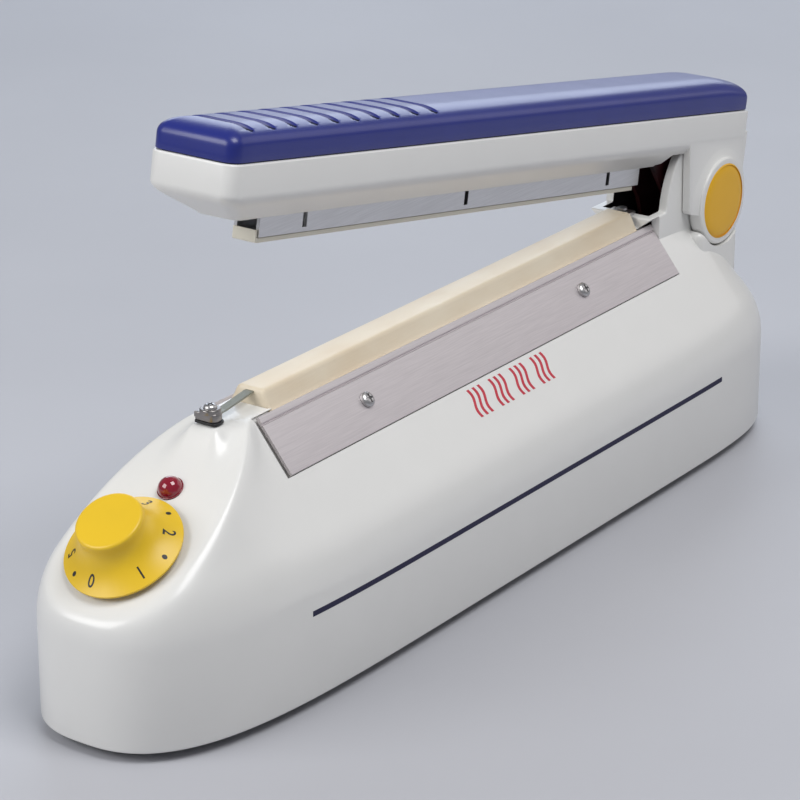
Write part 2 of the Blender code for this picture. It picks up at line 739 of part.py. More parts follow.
def make_arm_shell():
    shell = loft("arm_shell", arm_rings(0.0, (KEEL_HALF, *KEEL_Y, KEEL_Z), PARTING_Z),
                 ivory_plastic())
    join(shell, side_plate("ears", ear_outline(), (-ARM_HALF + 0.05, ARM_HALF - 0.05)))
    parts = [shell]
    for side_name, side in SIDES:
        boss = rod(f"ear_boss_{side_name}", BOSS_RADIUS, (side * 14.0, HINGE_Y, HINGE_Z),
                   (side * 18.4, HINGE_Y, HINGE_Z), segments=32)
        join(shell, boss)
        parts.append(boss)
    inner = 2.0
    hollow = loft("arm_hollow", arm_rings(inner, (8.0, -117.0, 124.0, 101.3), PARTING_Z + 3.0))
    bar_slot = box("arm_bar_slot", (-5.3, 5.3), (BAR_Y[0] - 1.2, 123.0), (90.0, 104.0))
    frame_slot = box("arm_frame_slot", (-7.3, 7.3), (121.4, 131.0), (90.0, 105.0))
    tower_slot = box("arm_tower_slot", (-TOWER_HALF - 0.5, TOWER_HALF + 0.5),
                     (127.6, ARM_Y[1] - inner), (55.0, 118.0))
    rear_slot = box("arm_rear_slot", (-TOWER_HALF - 0.5, TOWER_HALF + 0.5),
                    (150.0, 178.0), (55.0, 93.0))
    cut(shell, hollow, bar_slot, frame_slot, tower_slot, rear_slot)
    for side_name, side in SIDES:
        pocket = rod(f"cap_pocket_{side_name}", 13.8, (side * 16.8, HINGE_Y, HINGE_Z),
                     (side * 20.0, HINGE_Y, HINGE_Z), segments=32)
        cut(shell, pocket)
        parts.append(pocket)
    pin_bore = rod("pin_bore", PIN_RADIUS + 0.3, (-20, HINGE_Y, HINGE_Z), (20, HINGE_Y, HINGE_Z))
    cut(shell, pin_bore)
    ears = bpy.data.objects["ears"]
    return parts + [ears, hollow, bar_slot, frame_slot, tower_slot, rear_slot, pin_bore]


def cover_height(y, height):
    """Height above the parting plane; the top rises to the rear, then falls away."""
    behind = max(y - COVER_FALL_Y, 0.0) / (ARM_Y[1] - COVER_FALL_Y)
    return height * (1.0 + 0.0003 * y) * (1.0 - 0.22 * behind ** 2)


def cover_rings(inset, drop):
    """Plan sections of the grip cover, from its rim to the crown."""
    rings = []
    levels = ((0.7, 0.0), (0.7, 4.8), (1.2, 6.6), (2.4, 8.3), (4.5, 9.6), (7.6, 10.4), (12.0, CROWN))
    for side, height in levels:
        y = (ARM_Y[0] + 0.7 * side + inset, ARM_Y[1] - 0.6 * side - inset)
        outline = rounded_outline(ARM_HALF - side - inset, y, max(4.6 - side / 2 - inset, 1.0),
                                  max(2.4 - side / 3 - inset, 0.8), (0.0, 130.0, 155.0, 165.0))
        rings.append([(x, y, PARTING_Z + GAP + cover_height(y, height) - drop) for x, y in outline])
    return rings


def make_cover():
    rear_point = CORNER_POINTS - 1
    cover = loft("grip_cover", cover_rings(0.0, 0.0), blue_grip(), rear_point)
    hollow = loft("cover_hollow", cover_rings(2.0, 2.2), first=rear_point)
    parts = [cover, hollow]
    cut(cover, hollow)
    for number in range(GROOVE_COUNT):
        y = FIRST_GROOVE_Y + number * GROOVE_PITCH
        floor = PARTING_Z + GAP + cover_height(y, CROWN) - GROOVE_DEPTH
        groove = box(f"groove_{number}", (-GROOVE_HALF, GROOVE_HALF), (y - 1.0, y + 1.0),
                     (floor, floor + 5.0))
        cut(cover, groove)
        parts.append(groove)
    return parts


def frame_outline():
    """Side view of the steel lever: a long rail that drops to the hinge and the heel."""
    hinge = (HINGE_Y, HINGE_Z)
    return ([(-112.0, 111.5), (-112.0, 101.8), (122.0, 101.8), (140.0, 84.0), (148.0, 70.0),
             (156.3, 70.0), (156.3, 76.5)] + arc(hinge, 6.8, 245.0, 390.0, 8)
            + [(HINGE_Y + 1.5, 111.5)])


def make_arm_frame():
    frame = side_plate("arm_frame", frame_outline(), (-6.9, 6.9), black_steel())
    trough = box("frame_trough", (-5.4, 5.4), (-115.0, 180.0), (60.0, 110.0))
    heel = box("frame_heel", (-6.0, 6.0), (150.5, 156.3), (70.0, 75.5))
    hole = rod("frame_bore", PIN_RADIUS + 0.3, (-10, HINGE_Y, HINGE_Z), (10, HINGE_Y, HINGE_Z))
    cut(frame, trough)
    join(frame, heel)
    cut(frame, hole)
    parts = [frame, trough, heel, hole]
    for number, (place, y) in enumerate(zip(("front", "middle", "rear"), BAR_SLOTS_Y)):
        bore = rod(f"bar_pin_bore_{number}", 1.05, (-10, y, 103.4), (10, y, 103.4), segments=12)
        cut(frame, bore)
        pin = rod(f"bar_pin_{place}", 0.75, (-7.4, y, 103.4), (7.4, y, 103.4), satin_steel(), 12)
        parts += [bore, pin]
    return parts


def make_press_bar():
    """The aluminium channel that presses the film, with its silicone pad."""
    bar = box("press_bar", (-BAR_HALF, BAR_HALF), BAR_Y, (BAR_BOTTOM, BAR_TOP), aluminium())
    trough = box("bar_trough", (-BAR_HALF + 1.2, BAR_HALF - 1.2), (BAR_Y[0] - 2, BAR_Y[1] + 2),
                 (BAR_BOTTOM + 1.2, BAR_TOP + 2))
    cut(bar, trough)
    parts = [bar, trough]
    for number, y in enumerate(BAR_SLOTS_Y):
        slot = box(f"bar_slot_{number}", (-8.0, 8.0), (y - 1.1, y + 1.1), (BAR_BOTTOM + 1.4, 104.5))
        cut(bar, slot)
        parts.append(slot)
    pad = box("silicone_pad", (-4.5, 4.5), (BAR_Y[0] + 0.5, SEAL_Y[1] + GAP),
              (PAD_BOTTOM, BAR_BOTTOM - GAP), silicone(), 0.4)
    return parts + [pad]


def helix(centre, radius, turns, length, axis, per_turn=8, phase=0.0):
    """Points of a coil whose axis runs through centre along X or Z."""
    points = []
    for i in range(int(turns * per_turn) + 1):
        angle = phase + 2 * math.pi * i / per_turn
        along = length * (i / (turns * per_turn) - 0.5)
        u, v = radius * math.cos(angle), radius * math.sin(angle)
        offset = (along, u, v) if axis == "X" else (u, v, along)
        points.append(tuple(c + o for c, o in zip(centre, offset)))
    return points


def make_bar_springs():
    parts = []
    for place, y in (("front", -36.0), ("rear", 53.0)):
        middle = (0.0, y, (BAR_BOTTOM + 1.2 + 110.0) / 2)
        parts.append(wire(f"bar_spring_{place}", helix(middle, 2.5, 5, 14.8, "Z"), 0.4,
                          spring_steel()))
    return parts


def make_hinge():
    """Pin, caps, bushes and the coil spring that holds the arm up."""
    parts = [rod("hinge_pin", PIN_RADIUS, (-16.4, HINGE_Y, HINGE_Z), (16.4, HINGE_Y, HINGE_Z),
                 satin_steel())]
    for side_name, side in SIDES:
        cap = rod(f"hinge_cap_{side_name}", 13.5, (side * 17.1, HINGE_Y, HINGE_Z),
                  (side * 18.9, HINGE_Y, HINGE_Z), yellow_plastic(), 32)
        parts.append(bevelled(cap, 0.5, 1))
        bush = rod(f"hinge_bush_{side_name}", 4.5, (side * 9.0, HINGE_Y, HINGE_Z),
                   (side * 12.9, HINGE_Y, HINGE_Z), brass())
        cut(bush, rod(f"bush_hole_{side_name}", PIN_RADIUS + 0.3, (side * 8, HINGE_Y, HINGE_Z),
                      (side * 14, HINGE_Y, HINGE_Z)))
    coil = helix((0.0, HINGE_Y, HINGE_Z), 4.9, 4.5, 7.2, "X", 10, math.pi)
    first_leg = [(coil[0][0], HINGE_Y - 4.9, HINGE_Z + 15.0)]
    last_leg = [(coil[-1][0], HINGE_Y + 4.9, HINGE_Z - 7.0)]
    wire("return_spring", first_leg + coil + last_leg, 0.5, spring_steel())
    return parts


def make_arm():
    rest = Matrix.Translation(Vector((0.0, HINGE_Y, HINGE_Z)) * MM)
    hinge = pivot("arm_hinge", rest)
    pieces = (make_arm_shell() + make_cover() + make_arm_frame() + make_press_bar()
              + make_bar_springs() + make_hinge())
    attach(hinge, rest, *pieces)
    hinge.matrix_world = rest @ Matrix.Rotation(-OPEN_ANGLE, 4, "X")


def main():
    global MODEL, CUTTERS
    clear_scene()
    MODEL = new_collection("impulse_heat_sealer")
    CUTTERS = new_collection("cutters")
    make_housing()
    make_base()
    make_seal_bar()
    make_transformer()
    make_timer()
    make_lamp()
    make_knob()
    make_inlet()
    make_switch()
    make_arm()


main()
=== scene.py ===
"""Impulse heat sealer: fine surfaces, materials, lights and camera on the CAD frame.

Shapes are drawn in millimetres and turned into metres. -Y is the front, +X the right side
and +Z up. The arm's pieces are drawn with the arm closed and then swung up to its rest angle.
"""
import json
from math import acos, atan, atan2, cos, exp, hypot, pi, radians, sin, tan

import bmesh
import bpy
import numpy as np
from mathutils import Matrix, Vector, noise


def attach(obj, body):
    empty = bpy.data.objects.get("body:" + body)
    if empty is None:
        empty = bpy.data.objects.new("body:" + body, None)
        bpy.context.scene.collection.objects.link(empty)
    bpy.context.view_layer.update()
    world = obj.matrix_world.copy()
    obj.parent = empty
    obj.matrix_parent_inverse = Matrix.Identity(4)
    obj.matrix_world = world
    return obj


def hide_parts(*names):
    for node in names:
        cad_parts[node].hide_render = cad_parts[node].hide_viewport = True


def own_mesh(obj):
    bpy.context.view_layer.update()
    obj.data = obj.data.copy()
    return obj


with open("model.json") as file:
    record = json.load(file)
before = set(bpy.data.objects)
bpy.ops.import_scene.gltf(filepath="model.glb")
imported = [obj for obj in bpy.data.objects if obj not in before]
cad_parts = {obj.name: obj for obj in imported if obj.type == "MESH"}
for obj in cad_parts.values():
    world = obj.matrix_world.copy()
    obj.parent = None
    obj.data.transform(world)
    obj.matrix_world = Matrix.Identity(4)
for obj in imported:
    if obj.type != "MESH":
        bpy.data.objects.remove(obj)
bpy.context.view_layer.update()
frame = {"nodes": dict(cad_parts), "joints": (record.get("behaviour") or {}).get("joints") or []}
MM = 0.001


# ---- measures taken from the frame

def span(node, matrix=None):
    """Lowest and highest corner of a CAD node in millimetres, after an optional matrix."""
    matrix = matrix or Matrix()
    points = [matrix @ vertex.co for vertex in frame["nodes"][node].data.vertices]
    low = Vector([min(point[i] for point in points) for i in range(3)]) / MM
    high = Vector([max(point[i] for point in points) for i in range(3)]) / MM
    return low, high


def middle(node, matrix=None):
    """Middle of a CAD node's box in millimetres."""
    low, high = span(node, matrix)
    return [(a + b) / 2 for a, b in zip(low, high)]


JOINTS = {joint["name"]: joint for joint in frame["joints"]}
HINGE = Vector(JOINTS["arm_hinge"]["pos_m"])
HINGE_Y, HINGE_Z = HINGE.y / MM, HINGE.z / MM
BAR_AXIS = JOINTS["press_bar_slide"]["axis"]
OPEN_ANGLE = atan2(BAR_AXIS[1], BAR_AXIS[2])
ARM_OPEN = (Matrix.Translation(HINGE) @ Matrix.Rotation(-OPEN_ANGLE, 4, "X")
            @ Matrix.Translation(-HINGE))
ARM_CLOSED = ARM_OPEN.inverted()
KNOB_AXIS = JOINTS["timer_knob_turn"]["axis"]
PANEL_ANGLE = atan2(-KNOB_AXIS[1], KNOB_AXIS[2])
KNOB_PLACE = Vector(JOINTS["timer_knob_turn"]["pos_m"])
AT_KNOB = Matrix.Translation(KNOB_PLACE) @ Matrix.Rotation(PANEL_ANGLE, 4, "X")

# Housing: outline in plan, side profile and panel
HOUSING = span("housing")
BODY_HALF_WIDTH = HOUSING[1].x
NOSE_Y, REAR_Y = HOUSING[0].y, HOUSING[1].y
FOOT_HEIGHT = HOUSING[0].z
PLAN_CENTRE_Y = 10.5
FRONT_POWERS = (5.83, 2.61)     # superellipse powers along and across, front half
REAR_POWERS = (9.57, 2.49)
WALL_TOP = 35.0
SHOULDER_RADIUS = 28.5
SLOPE = 1.25
PANEL_BLEND = 5.0
PANEL_EDGE_Z = KNOB_PLACE.z / MM - (KNOB_PLACE.y / MM - NOSE_Y) * tan(PANEL_ANGLE)
RIDGE_Z = 84.3
WALL = 3.0
SPINE_Y = (-106.3, 150.0)
CREASE_BEAD = 0.22              # soft raised line round the panel
CREASE_WIDTH = 2.6
TOP_BLEND = 2.0
STAND_SLOPE = 1.15
STAND_BLEND = 6.0
OUTLINE_POINTS = 110            # in each quarter of the housing's outline
EDGE_RADIUS = 0.9               # round at the housing's lower edge
STRIPE_Z, STRIPE_HALF = 31.7, 0.95
STRIPE_Y = (-119.0, 125.0)

# Tower and hinge
TOWER_HALF = 12.8
TOWER_INNER_HALF = 9.6
TOWER_RADIUS = 31.3
TOWER_REAR_Y = 170.5
BOSS_RADIUS = 16.0
PIN_BORE = 3.3

# Seal bar and clamps
SHEET = span("ptfe_sheet")
SHEET_THICKNESS = 0.28
FOLD = 6.0                      # length folded down in front
SEAL_TOP = SHEET[1].z
SEAL_HALF = 4.9
SEAL_Y = (SHEET[0].y, SHEET[1].y)
CLAMP = span("sheet_clamp_right")
CLAMP_Y = (CLAMP[0].y, CLAMP[1].y)
CLAMP_TOP = (9.1, RIDGE_Z)
CLAMP_LOW = (21.8, 68.4)
CLAMP_HALF = hypot(CLAMP_LOW[0] - CLAMP_TOP[0], CLAMP_LOW[1] - CLAMP_TOP[1]) / 2
TERMINAL_Y = middle("front_terminal")[1]

# Arm, drawn closed
ARM = span("arm_shell", ARM_CLOSED)
ARM_HALF = 16.3
ARM_Y = (ARM[0].y, ARM[1].y)
PARTING_Z = ARM[1].z
ARM_WALL = 2.0
ARM_WALL_Z = 106.6              # the arm has its full width above this
KEEL_Z = 98.5
KEEL_HALF = 8.4
KEEL_Y = (-121.0, 126.5)
COVER_FALL_Y = 155.0
CROWN = 10.6
COVER_EDGE = 0.7                # how far the cover stands back
GROOVE_DEPTH = 2.1
GROOVE_HALF = 12.8
GROOVE_WIDTH = 2.7
GROOVE_PITCH = 10.7
GROOVE_COUNT = 10
FIRST_GROOVE_Y = -123.0

# Controls
KNOB_RADIUS = 18.8
KNOB_HEIGHT = 15.2
KNOB_TOP_RADIUS = 10.8
KNOB_WAIST = KNOB_TOP_RADIUS - 0.3
FLARE_POWER = 2.2
FLARE_LOW, FLARE_RISE = 2.7, 9.6
DIAL_START, DIAL_STEP = radians(-92.0), radians(61.0)
DIGIT_RADIUS, DOT_RADIUS = 15.1, 16.4
LAMP_SHIFT = 24.85              # from the knob's axis up the panel to the lamp
LAMP_RADIUS = 4.2
PANEL_BORE = 4.2                # holes for the knob's spindle and the lamp

SIDES = (("right", 1), ("left", -1))
MIRROR = Matrix.Diagonal((-1.0, 1.0, 1.0, 1.0))
ENDS = ("front", "rear")


# ---- shape helpers

def arc(centre, radius, start, end, count):
    """Points along a circular arc, angles in degrees."""
    angles = [radians(start + (end - start) * i / (count - 1)) for i in range(count)]
    return [(centre[0] + radius * cos(a), centre[1] + radius * sin(a)) for a in angles]


def softened(points, closed=False, steps=5):
    """A polyline through corners (a, b, size), each rounded by a short quadratic curve."""
    line = []
    count = len(points)
    for i, (a, b, size) in enumerate(points):
        here = Vector((a, b))
        if size == 0 or (not closed and i in (0, count - 1)):
            line.append((a, b))
            continue
        start = here + (Vector(points[i - 1][:2]) - here).normalized() * size
        end = here + (Vector(points[(i + 1) % count][:2]) - here).normalized() * size
        for k in range(steps + 1):
            t = k / steps
            point = start * (1 - t) ** 2 + here * 2 * t * (1 - t) + end * t * t
            line.append((point.x, point.y))
    return line


def soft_min(a, b, width):
    """The smaller of two values, blended where they are within a width of each other."""
    overlap = max(width - abs(a - b), 0.0) / width
    return min(a, b) - overlap * overlap * width / 4


def mesh_of(name, bm, matrix=None):
    """Finish a bmesh drawn in millimetres: outward faces, metres, then the matrix."""
    bmesh.ops.recalc_face_normals(bm, faces=bm.faces)
    bmesh.ops.scale(bm, vec=(MM, MM, MM), verts=bm.verts)
    if matrix is not None:
        bmesh.ops.transform(bm, matrix=matrix, verts=bm.verts)
        if matrix.determinant() < 0:
            bmesh.ops.reverse_faces(bm, faces=bm.faces)
    mesh = bpy.data.meshes.new(name)
    bm.to_mesh(mesh)
    bm.free()
    return mesh


def add_object(name, data):
    """Put a mesh, curve, light or camera into the scene as an object."""
    obj = bpy.data.objects.new(name, data)
    bpy.context.scene.collection.objects.link(obj)
    return obj


def cap_ring(bm, row, first):
    """Close a left-right symmetric ring with cross strips, from its point first on."""
    count = len(row)
    for step in range(count // 2 - 1):
        left, right = (first - step) % count, (first + 1 + step) % count
        bm.faces.new((row[left], row[right], row[(right + 1) % count], row[(left - 1) % count]))


def skin(bm, rings):
    """Side faces through rings of equal point counts; gives the rings' vertices."""
    rows = [[bm.verts.new(point) for point in ring] for ring in rings]
    count = len(rows[0])
    for low, high in zip(rows, rows[1:]):
        for i in range(count):
            j = (i + 1) % count
            bm.faces.new((low[i], low[j], high[j], high[i]))
    return rows


def loft(name, rings, first=None):
    """A closed solid through rings, with cross strips over its ends if first is given."""
    bm = bmesh.new()
    rows = skin(bm, rings)
    for row in (rows[0], rows[-1]):
        if first is None:
            bm.faces.new(row)
        else:
            cap_ring(bm, row, first)
    return add_object(name, mesh_of(name, bm))


def moved(x, y, z):
    """Matrix that moves by millimetres."""
    return Matrix.Translation(Vector((x, y, z)) * MM)


ACROSS = Matrix(((0, 0, 1, 0), (1, 0, 0, 0), (0, 1, 0, 0), (0, 0, 0, 1)))    # outline in Y, Z
LENGTHWISE = Matrix(((1, 0, 0, 0), (0, 0, -1, 0), (0, 1, 0, 0), (0, 0, 0, 1)))  # outline in X, Z


def prism(name, outline, low, high, matrix=None, bevel=0.0):
    """A flat outline drawn out between two distances along its own normal."""
    bm = bmesh.new()
    for row in skin(bm, [[(a, b, level) for a, b in outline] for level in (low, high)]):
        bm.faces.new(row)
    bmesh.ops.recalc_face_normals(bm, faces=bm.faces)
    if bevel:
        edges = [e for e in bm.edges if e.calc_face_angle(0.0) > radians(35.0)]
        bmesh.ops.bevel(bm, geom=edges, offset=bevel, segments=4, profile=0.5,
                        affect="EDGES", clamp_overlap=True)
    return add_object(name, mesh_of(name, bm, matrix))


def block(name, x, y, z, bevel=0.0, matrix=None):
    """A box between pairs of limits, with rounded edges when bevel is given."""
    corners = [(x[0], y[0]), (x[1], y[0]), (x[1], y[1]), (x[0], y[1])]
    return prism(name, corners, z[0], z[1], matrix, bevel)


def lathe(name, profile, matrix=None, steps=96, ring=False):
    """A solid turned about local Z; a ring's profile closes on itself."""
    bm = bmesh.new()
    rows = []
    turns = [2 * pi * i / steps for i in range(steps)]
    for radius, height in profile:
        if radius < 1e-6:
            rows.append([bm.verts.new((0.0, 0.0, height))] * steps)
        else:
            rows.append([bm.verts.new((radius * cos(a), radius * sin(a), height))
                         for a in turns])
    pairs = list(zip(rows, rows[1:])) + ([(rows[-1], rows[0])] if ring else [])
    for upper, lower in pairs:
        for i in range(steps):
            j = (i + 1) % steps
            corners = dict.fromkeys((upper[i], upper[j], lower[j], lower[i]))
            bm.faces.new(tuple(corners))
    return add_object(name, mesh_of(name, bm, matrix))


def rod(name, radius, start, end, steps=48, matrix=None):
    """A cylinder between two points in millimetres."""
    start, end = Vector(start), Vector(end)
    along = end - start
    turn = Vector((0.0, 0.0, 1.0)).rotation_difference(along).to_matrix().to_4x4()
    at = (matrix or Matrix()) @ Matrix.Translation(start * MM) @ turn
    profile = [(0.0, along.length), (radius, along.length), (radius, 0.0), (0.0, 0.0)]
    return lathe(name, profile, at, steps)


def hinge_rod(name, radius, start, end, steps=48):
    """A cylinder about the hinge's axis between two places along X."""
    return rod(name, radius, (start, HINGE_Y, HINGE_Z), (end, HINGE_Y, HINGE_Z), steps)


def sideways(side):
    """Matrix that lays a turned shape's axis along X at the hinge, pointing outwards."""
    return Matrix.Translation(HINGE) @ Matrix.Rotation(side * pi / 2, 4, "Y")


def evaluated_mesh(obj):
    """The mesh of an object, with its modifiers applied."""
    graph = bpy.context.evaluated_depsgraph_get()
    return bpy.data.meshes.new_from_object(obj.evaluated_get(graph))


def combine(target, helpers, operation):
    """One exact Boolean of a solid with helper solids, which are then dropped."""
    group = bpy.data.collections.new("helpers")
    bpy.context.scene.collection.children.link(group)
    for helper in helpers:
        group.objects.link(helper)
    modifier = target.modifiers.new("Boolean", "BOOLEAN")
    modifier.operation = operation
    modifier.solver = "EXACT"
    modifier.operand_type = "COLLECTION"
    modifier.collection = group
    mesh = evaluated_mesh(target)
    target.modifiers.clear()
    target.data = mesh
    for helper in helpers:
        bpy.data.objects.remove(helper)
    bpy.data.collections.remove(group)
    return target


def place(obj, mat, body, slot, *nodes):
    """Give a piece its material and body, and hide the CAD nodes it stands for; slot is not used.
    """
    obj.data.shade_smooth()
    obj.data.set_sharp_from_angle(angle=radians(32.0))
    obj.data.materials.clear()
    obj.data.materials.append(mat)
    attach(obj, body)
    if nodes:
        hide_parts(*nodes)
    return obj


def swing(obj):
    """Turn a piece drawn with the arm closed to the arm's open rest angle."""
    obj.data.transform(ARM_OPEN)
    return obj


# ---- materials

def add_node(mat, kind, **settings):
    """A shader node with properties or input sockets set by name, underscores for spaces."""
    node = mat.node_tree.nodes.new(kind)
    for name, value in settings.items():
        if hasattr(node, name):
            setattr(node, name, value)
        else:
            node.inputs[name.replace("_", " ")].default_value = value
    return node


def link(mat, source, target):
    """Connect two shader sockets."""
    mat.node_tree.links.new(source, target)


def coordinates(mat, scale=(1.0, 1.0, 1.0)):
    """Object coordinates in millimetres, stretched by a scale along each axis."""
    coords = add_node(mat, "ShaderNodeTexCoord")
    mapping = add_node(mat, "ShaderNodeMapping", Scale=[value / MM for value in scale])
    link(mat, coords.outputs["Object"], mapping.inputs["Vector"])
    return mapping.outputs["Vector"]


def principled(name, colour, roughness, metallic=0.0, **sockets):
    """A new material and its shader, with sockets set by name as in add_node."""
    mat = bpy.data.materials.new(name)
    mat.use_nodes = True
    shader = mat.node_tree.nodes["Principled BSDF"]
    sockets.update(Base_Color=(*colour, 1.0), Roughness=roughness, Metallic=metallic)
    for socket, value in sockets.items():
        shader.inputs[socket.replace("_", " ")].default_value = value
    return mat, shader


def ramp(mat, shader, value, colours, positions=(0.0, 1.0)):
    """Base colour that runs between two tones as a value passes between two positions."""
    node = add_node(mat, "ShaderNodeValToRGB")
    for element, colour, position in zip(node.color_ramp.elements, colours, positions):
        element.position = position
        element.color = (*colour, 1.0)
    link(mat, value, node.inputs["Fac"])
    link(mat, node.outputs["Color"], shader.inputs["Base Color"])


def vary(mat, shader, colour, other, vector, scale, roughness):
    """Let noise drift the colour between two tones and the roughness between two values."""
    spots = add_node(mat, "ShaderNodeTexNoise", Scale=scale, Detail=4.0)
    link(mat, vector, spots.inputs["Vector"])
    ramp(mat, shader, spots.outputs["Fac"], (colour, other), (0.3, 0.7))
    spread = add_node(mat, "ShaderNodeMapRange", To_Min=roughness[0], To_Max=roughness[1])
    link(mat, spots.outputs["Fac"], spread.inputs["Value"])
    link(mat, spread.outputs["Result"], shader.inputs["Roughness"])


def bump(mat, shader, height, distance):
    """Surface relief of a depth in millimetres."""
    node = add_node(mat, "ShaderNodeBump", Strength=1.0, Distance=distance * MM)
    link(mat, height, node.inputs["Height"])
    link(mat, node.outputs["Normal"], shader.inputs["Normal"])


def grain(mat, shader, scale, distance, stretch=(1.0, 1.0, 1.0)):
    """Fine surface relief, or fine lines where it is stretched."""
    texture = add_node(mat, "ShaderNodeTexNoise", Scale=scale, Detail=5.0, Roughness=0.6)
    link(mat, coordinates(mat, stretch), texture.inputs["Vector"])
    bump(mat, shader, texture.outputs["Fac"], distance)


def moulded(name, colour, roughness, shift=0.94, relief=0.012, **sockets):
    """Moulded plastic: slight drift of tone and gloss over a very fine grain."""
    mat, shader = principled(name, colour, sum(roughness) / 2, **sockets)
    darker = tuple(value * shift for value in colour)
    vary(mat, shader, colour, darker, coordinates(mat), 0.06, roughness)
    grain(mat, shader, 3.0, relief)
    return mat


def brushed(name, colour, roughness, stretch=(2.0, 0.05, 2.0), relief=0.004):
    """Metal with fine lines along one direction."""
    mat, shader = principled(name, colour, sum(roughness) / 2, 1.0)
    darker = tuple(value * 0.9 for value in colour)
    vary(mat, shader, colour, darker, coordinates(mat, stretch), 1.5, roughness)
    grain(mat, shader, 2.5, relief, stretch)
    return mat


def cloth_material():
    """Glass cloth coated with release film: a fine plain weave under a soft sheen."""
    mat, shader = principled("ptfe_cloth_fine", (0.80, 0.70, 0.54), 0.42)
    vary(mat, shader, (0.83, 0.74, 0.58), (0.76, 0.64, 0.47), coordinates(mat, (1.0, 0.4, 1.0)),
         0.08, (0.36, 0.5))
    vector = coordinates(mat)
    waves = [add_node(mat, "ShaderNodeTexWave", bands_direction=axis, Scale=0.55) for axis in "XY"]
    for wave in waves:
        link(mat, vector, wave.inputs["Vector"])
    product = add_node(mat, "ShaderNodeMath", operation="MULTIPLY")
    link(mat, waves[0].outputs["Fac"], product.inputs[0])
    link(mat, waves[1].outputs["Fac"], product.inputs[1])
    bump(mat, shader, product.outputs[0], 0.02)
    return mat


def lever_material():
    """Blackened steel that turns red-brown towards the hinge, where it is primed."""
    mat, shader = principled("black_steel_fine", (0.02, 0.02, 0.022), 0.5, 0.3)
    split = add_node(mat, "ShaderNodeSeparateXYZ")
    link(mat, coordinates(mat), split.inputs[0])
    spread = add_node(mat, "ShaderNodeMapRange", From_Min=128.0, From_Max=134.0)
    link(mat, split.outputs["Y"], spread.inputs["Value"])
    ramp(mat, shader, spread.outputs["Result"], ((0.016, 0.016, 0.018), (0.075, 0.018, 0.02)))
    grain(mat, shader, 1.5, 0.02)
    return mat


IVORY = moulded("ivory_plastic_fine", (0.82, 0.815, 0.79), (0.28, 0.31), 0.985,
                Coat_Weight=0.25, Coat_Roughness=0.12)
BLUE = moulded("blue_grip_fine", (0.012, 0.022, 0.22), (0.32, 0.38), 0.9, 0.02,
               Coat_Weight=0.3, Coat_Roughness=0.2)
# Much darker blue for the groove floors: painted shade in the grooves.
GROOVE_SHADE_BLUE = moulded("groove_painted_shade_fine", (0.004, 0.006, 0.05), (0.6, 0.7), 0.9)
YELLOW = moulded("yellow_plastic_fine", (0.86, 0.56, 0.022), (0.3, 0.4), 0.95)
CAP_YELLOW = moulded("cap_yellow_fine", (0.88, 0.48, 0.012), (0.3, 0.4), 0.95)
RED_LENS = moulded("red_lens_fine", (0.27, 0.002, 0.02), (0.06, 0.1), 0.8, 0.0,
                   Coat_Weight=1.0, Coat_Roughness=0.03)
CREAM = moulded("silicone_fine", (0.80, 0.76, 0.64), (0.45, 0.6), 0.94)
INK = moulded("navy_ink", (0.006, 0.005, 0.045), (0.5, 0.65), 0.9)
RED_INK = moulded("red_ink", (0.62, 0.03, 0.06), (0.35, 0.5), 0.9)
BLACK = moulded("black_plastic_fine", (0.02, 0.02, 0.022), (0.4, 0.55), 0.8, 0.03)
RUBBER = moulded("rubber_fine", (0.03, 0.03, 0.03), (0.7, 0.85), 0.8, 0.05)
GREEN = moulded("circuit_board_fine", (0.03, 0.2, 0.07), (0.35, 0.5), 0.8)
COPPER = brushed("copper_winding_fine", (0.5, 0.17, 0.07), (0.3, 0.45), (0.2, 0.2, 3.0), 0.06)
STEEL = brushed("satin_steel_fine", (0.62, 0.61, 0.61), (0.25, 0.4))
PLATE = brushed("clamp_plate_fine", (0.78, 0.735, 0.745), (0.52, 0.6), relief=0.002)
# Satin steel made darker for the front clip: painted shade standing in for the dark surroundings it
# reflects.
DARKENED_TERMINAL_STEEL = brushed("terminal_steel_painted_shade_fine", (0.33, 0.31, 0.30), (0.25, 0.4))
RIBBON = brushed("heater_ribbon_fine", (0.42, 0.43, 0.38), (0.5, 0.65))
ALUMINIUM = brushed("aluminium_fine", (0.78, 0.78, 0.79), (0.25, 0.38))
BRASS = brushed("brass_fine", (0.7, 0.5, 0.2), (0.25, 0.4), (1.0, 1.0, 1.0))
SPRING = brushed("spring_steel_fine", (0.5, 0.5, 0.52), (0.2, 0.35), (1.0, 1.0, 1.0))
CLOTH = cloth_material()
LEVER = lever_material()


# ---- housing

def even_quarter(half, reach, powers, count):
    """Evenly spaced points on a quarter of a superellipse, from its side to its end."""
    angle = np.linspace(0.0, pi / 2, 4000)
    x = half * np.cos(angle).clip(0.0) ** (2 / powers[1])
    y = reach * np.sin(angle) ** (2 / powers[0])
    length = np.concatenate(([0.0], np.cumsum(np.hypot(np.diff(x), np.diff(y)))))
    wanted = (np.arange(count) + 0.5) / count * length[-1]
    return list(zip(np.interp(wanted, length, x), np.interp(wanted, length, y)))


def plan_outline(inset, per_quarter):
    """The housing's outline in plan, anticlockwise from the right side."""
    half = BODY_HALF_WIDTH - inset
    rear = even_quarter(half, REAR_Y - PLAN_CENTRE_Y - inset, REAR_POWERS, per_quarter)
    front = even_quarter(half, PLAN_CENTRE_Y - NOSE_Y - inset, FRONT_POWERS, per_quarter)
    points = rear + [(-x, y) for x, y in reversed(rear)]
    points += [(-x, -y) for x, y in front] + [(x, -y) for x, y in reversed(front)]
    return [(x, PLAN_CENTRE_Y + y) for x, y in points]


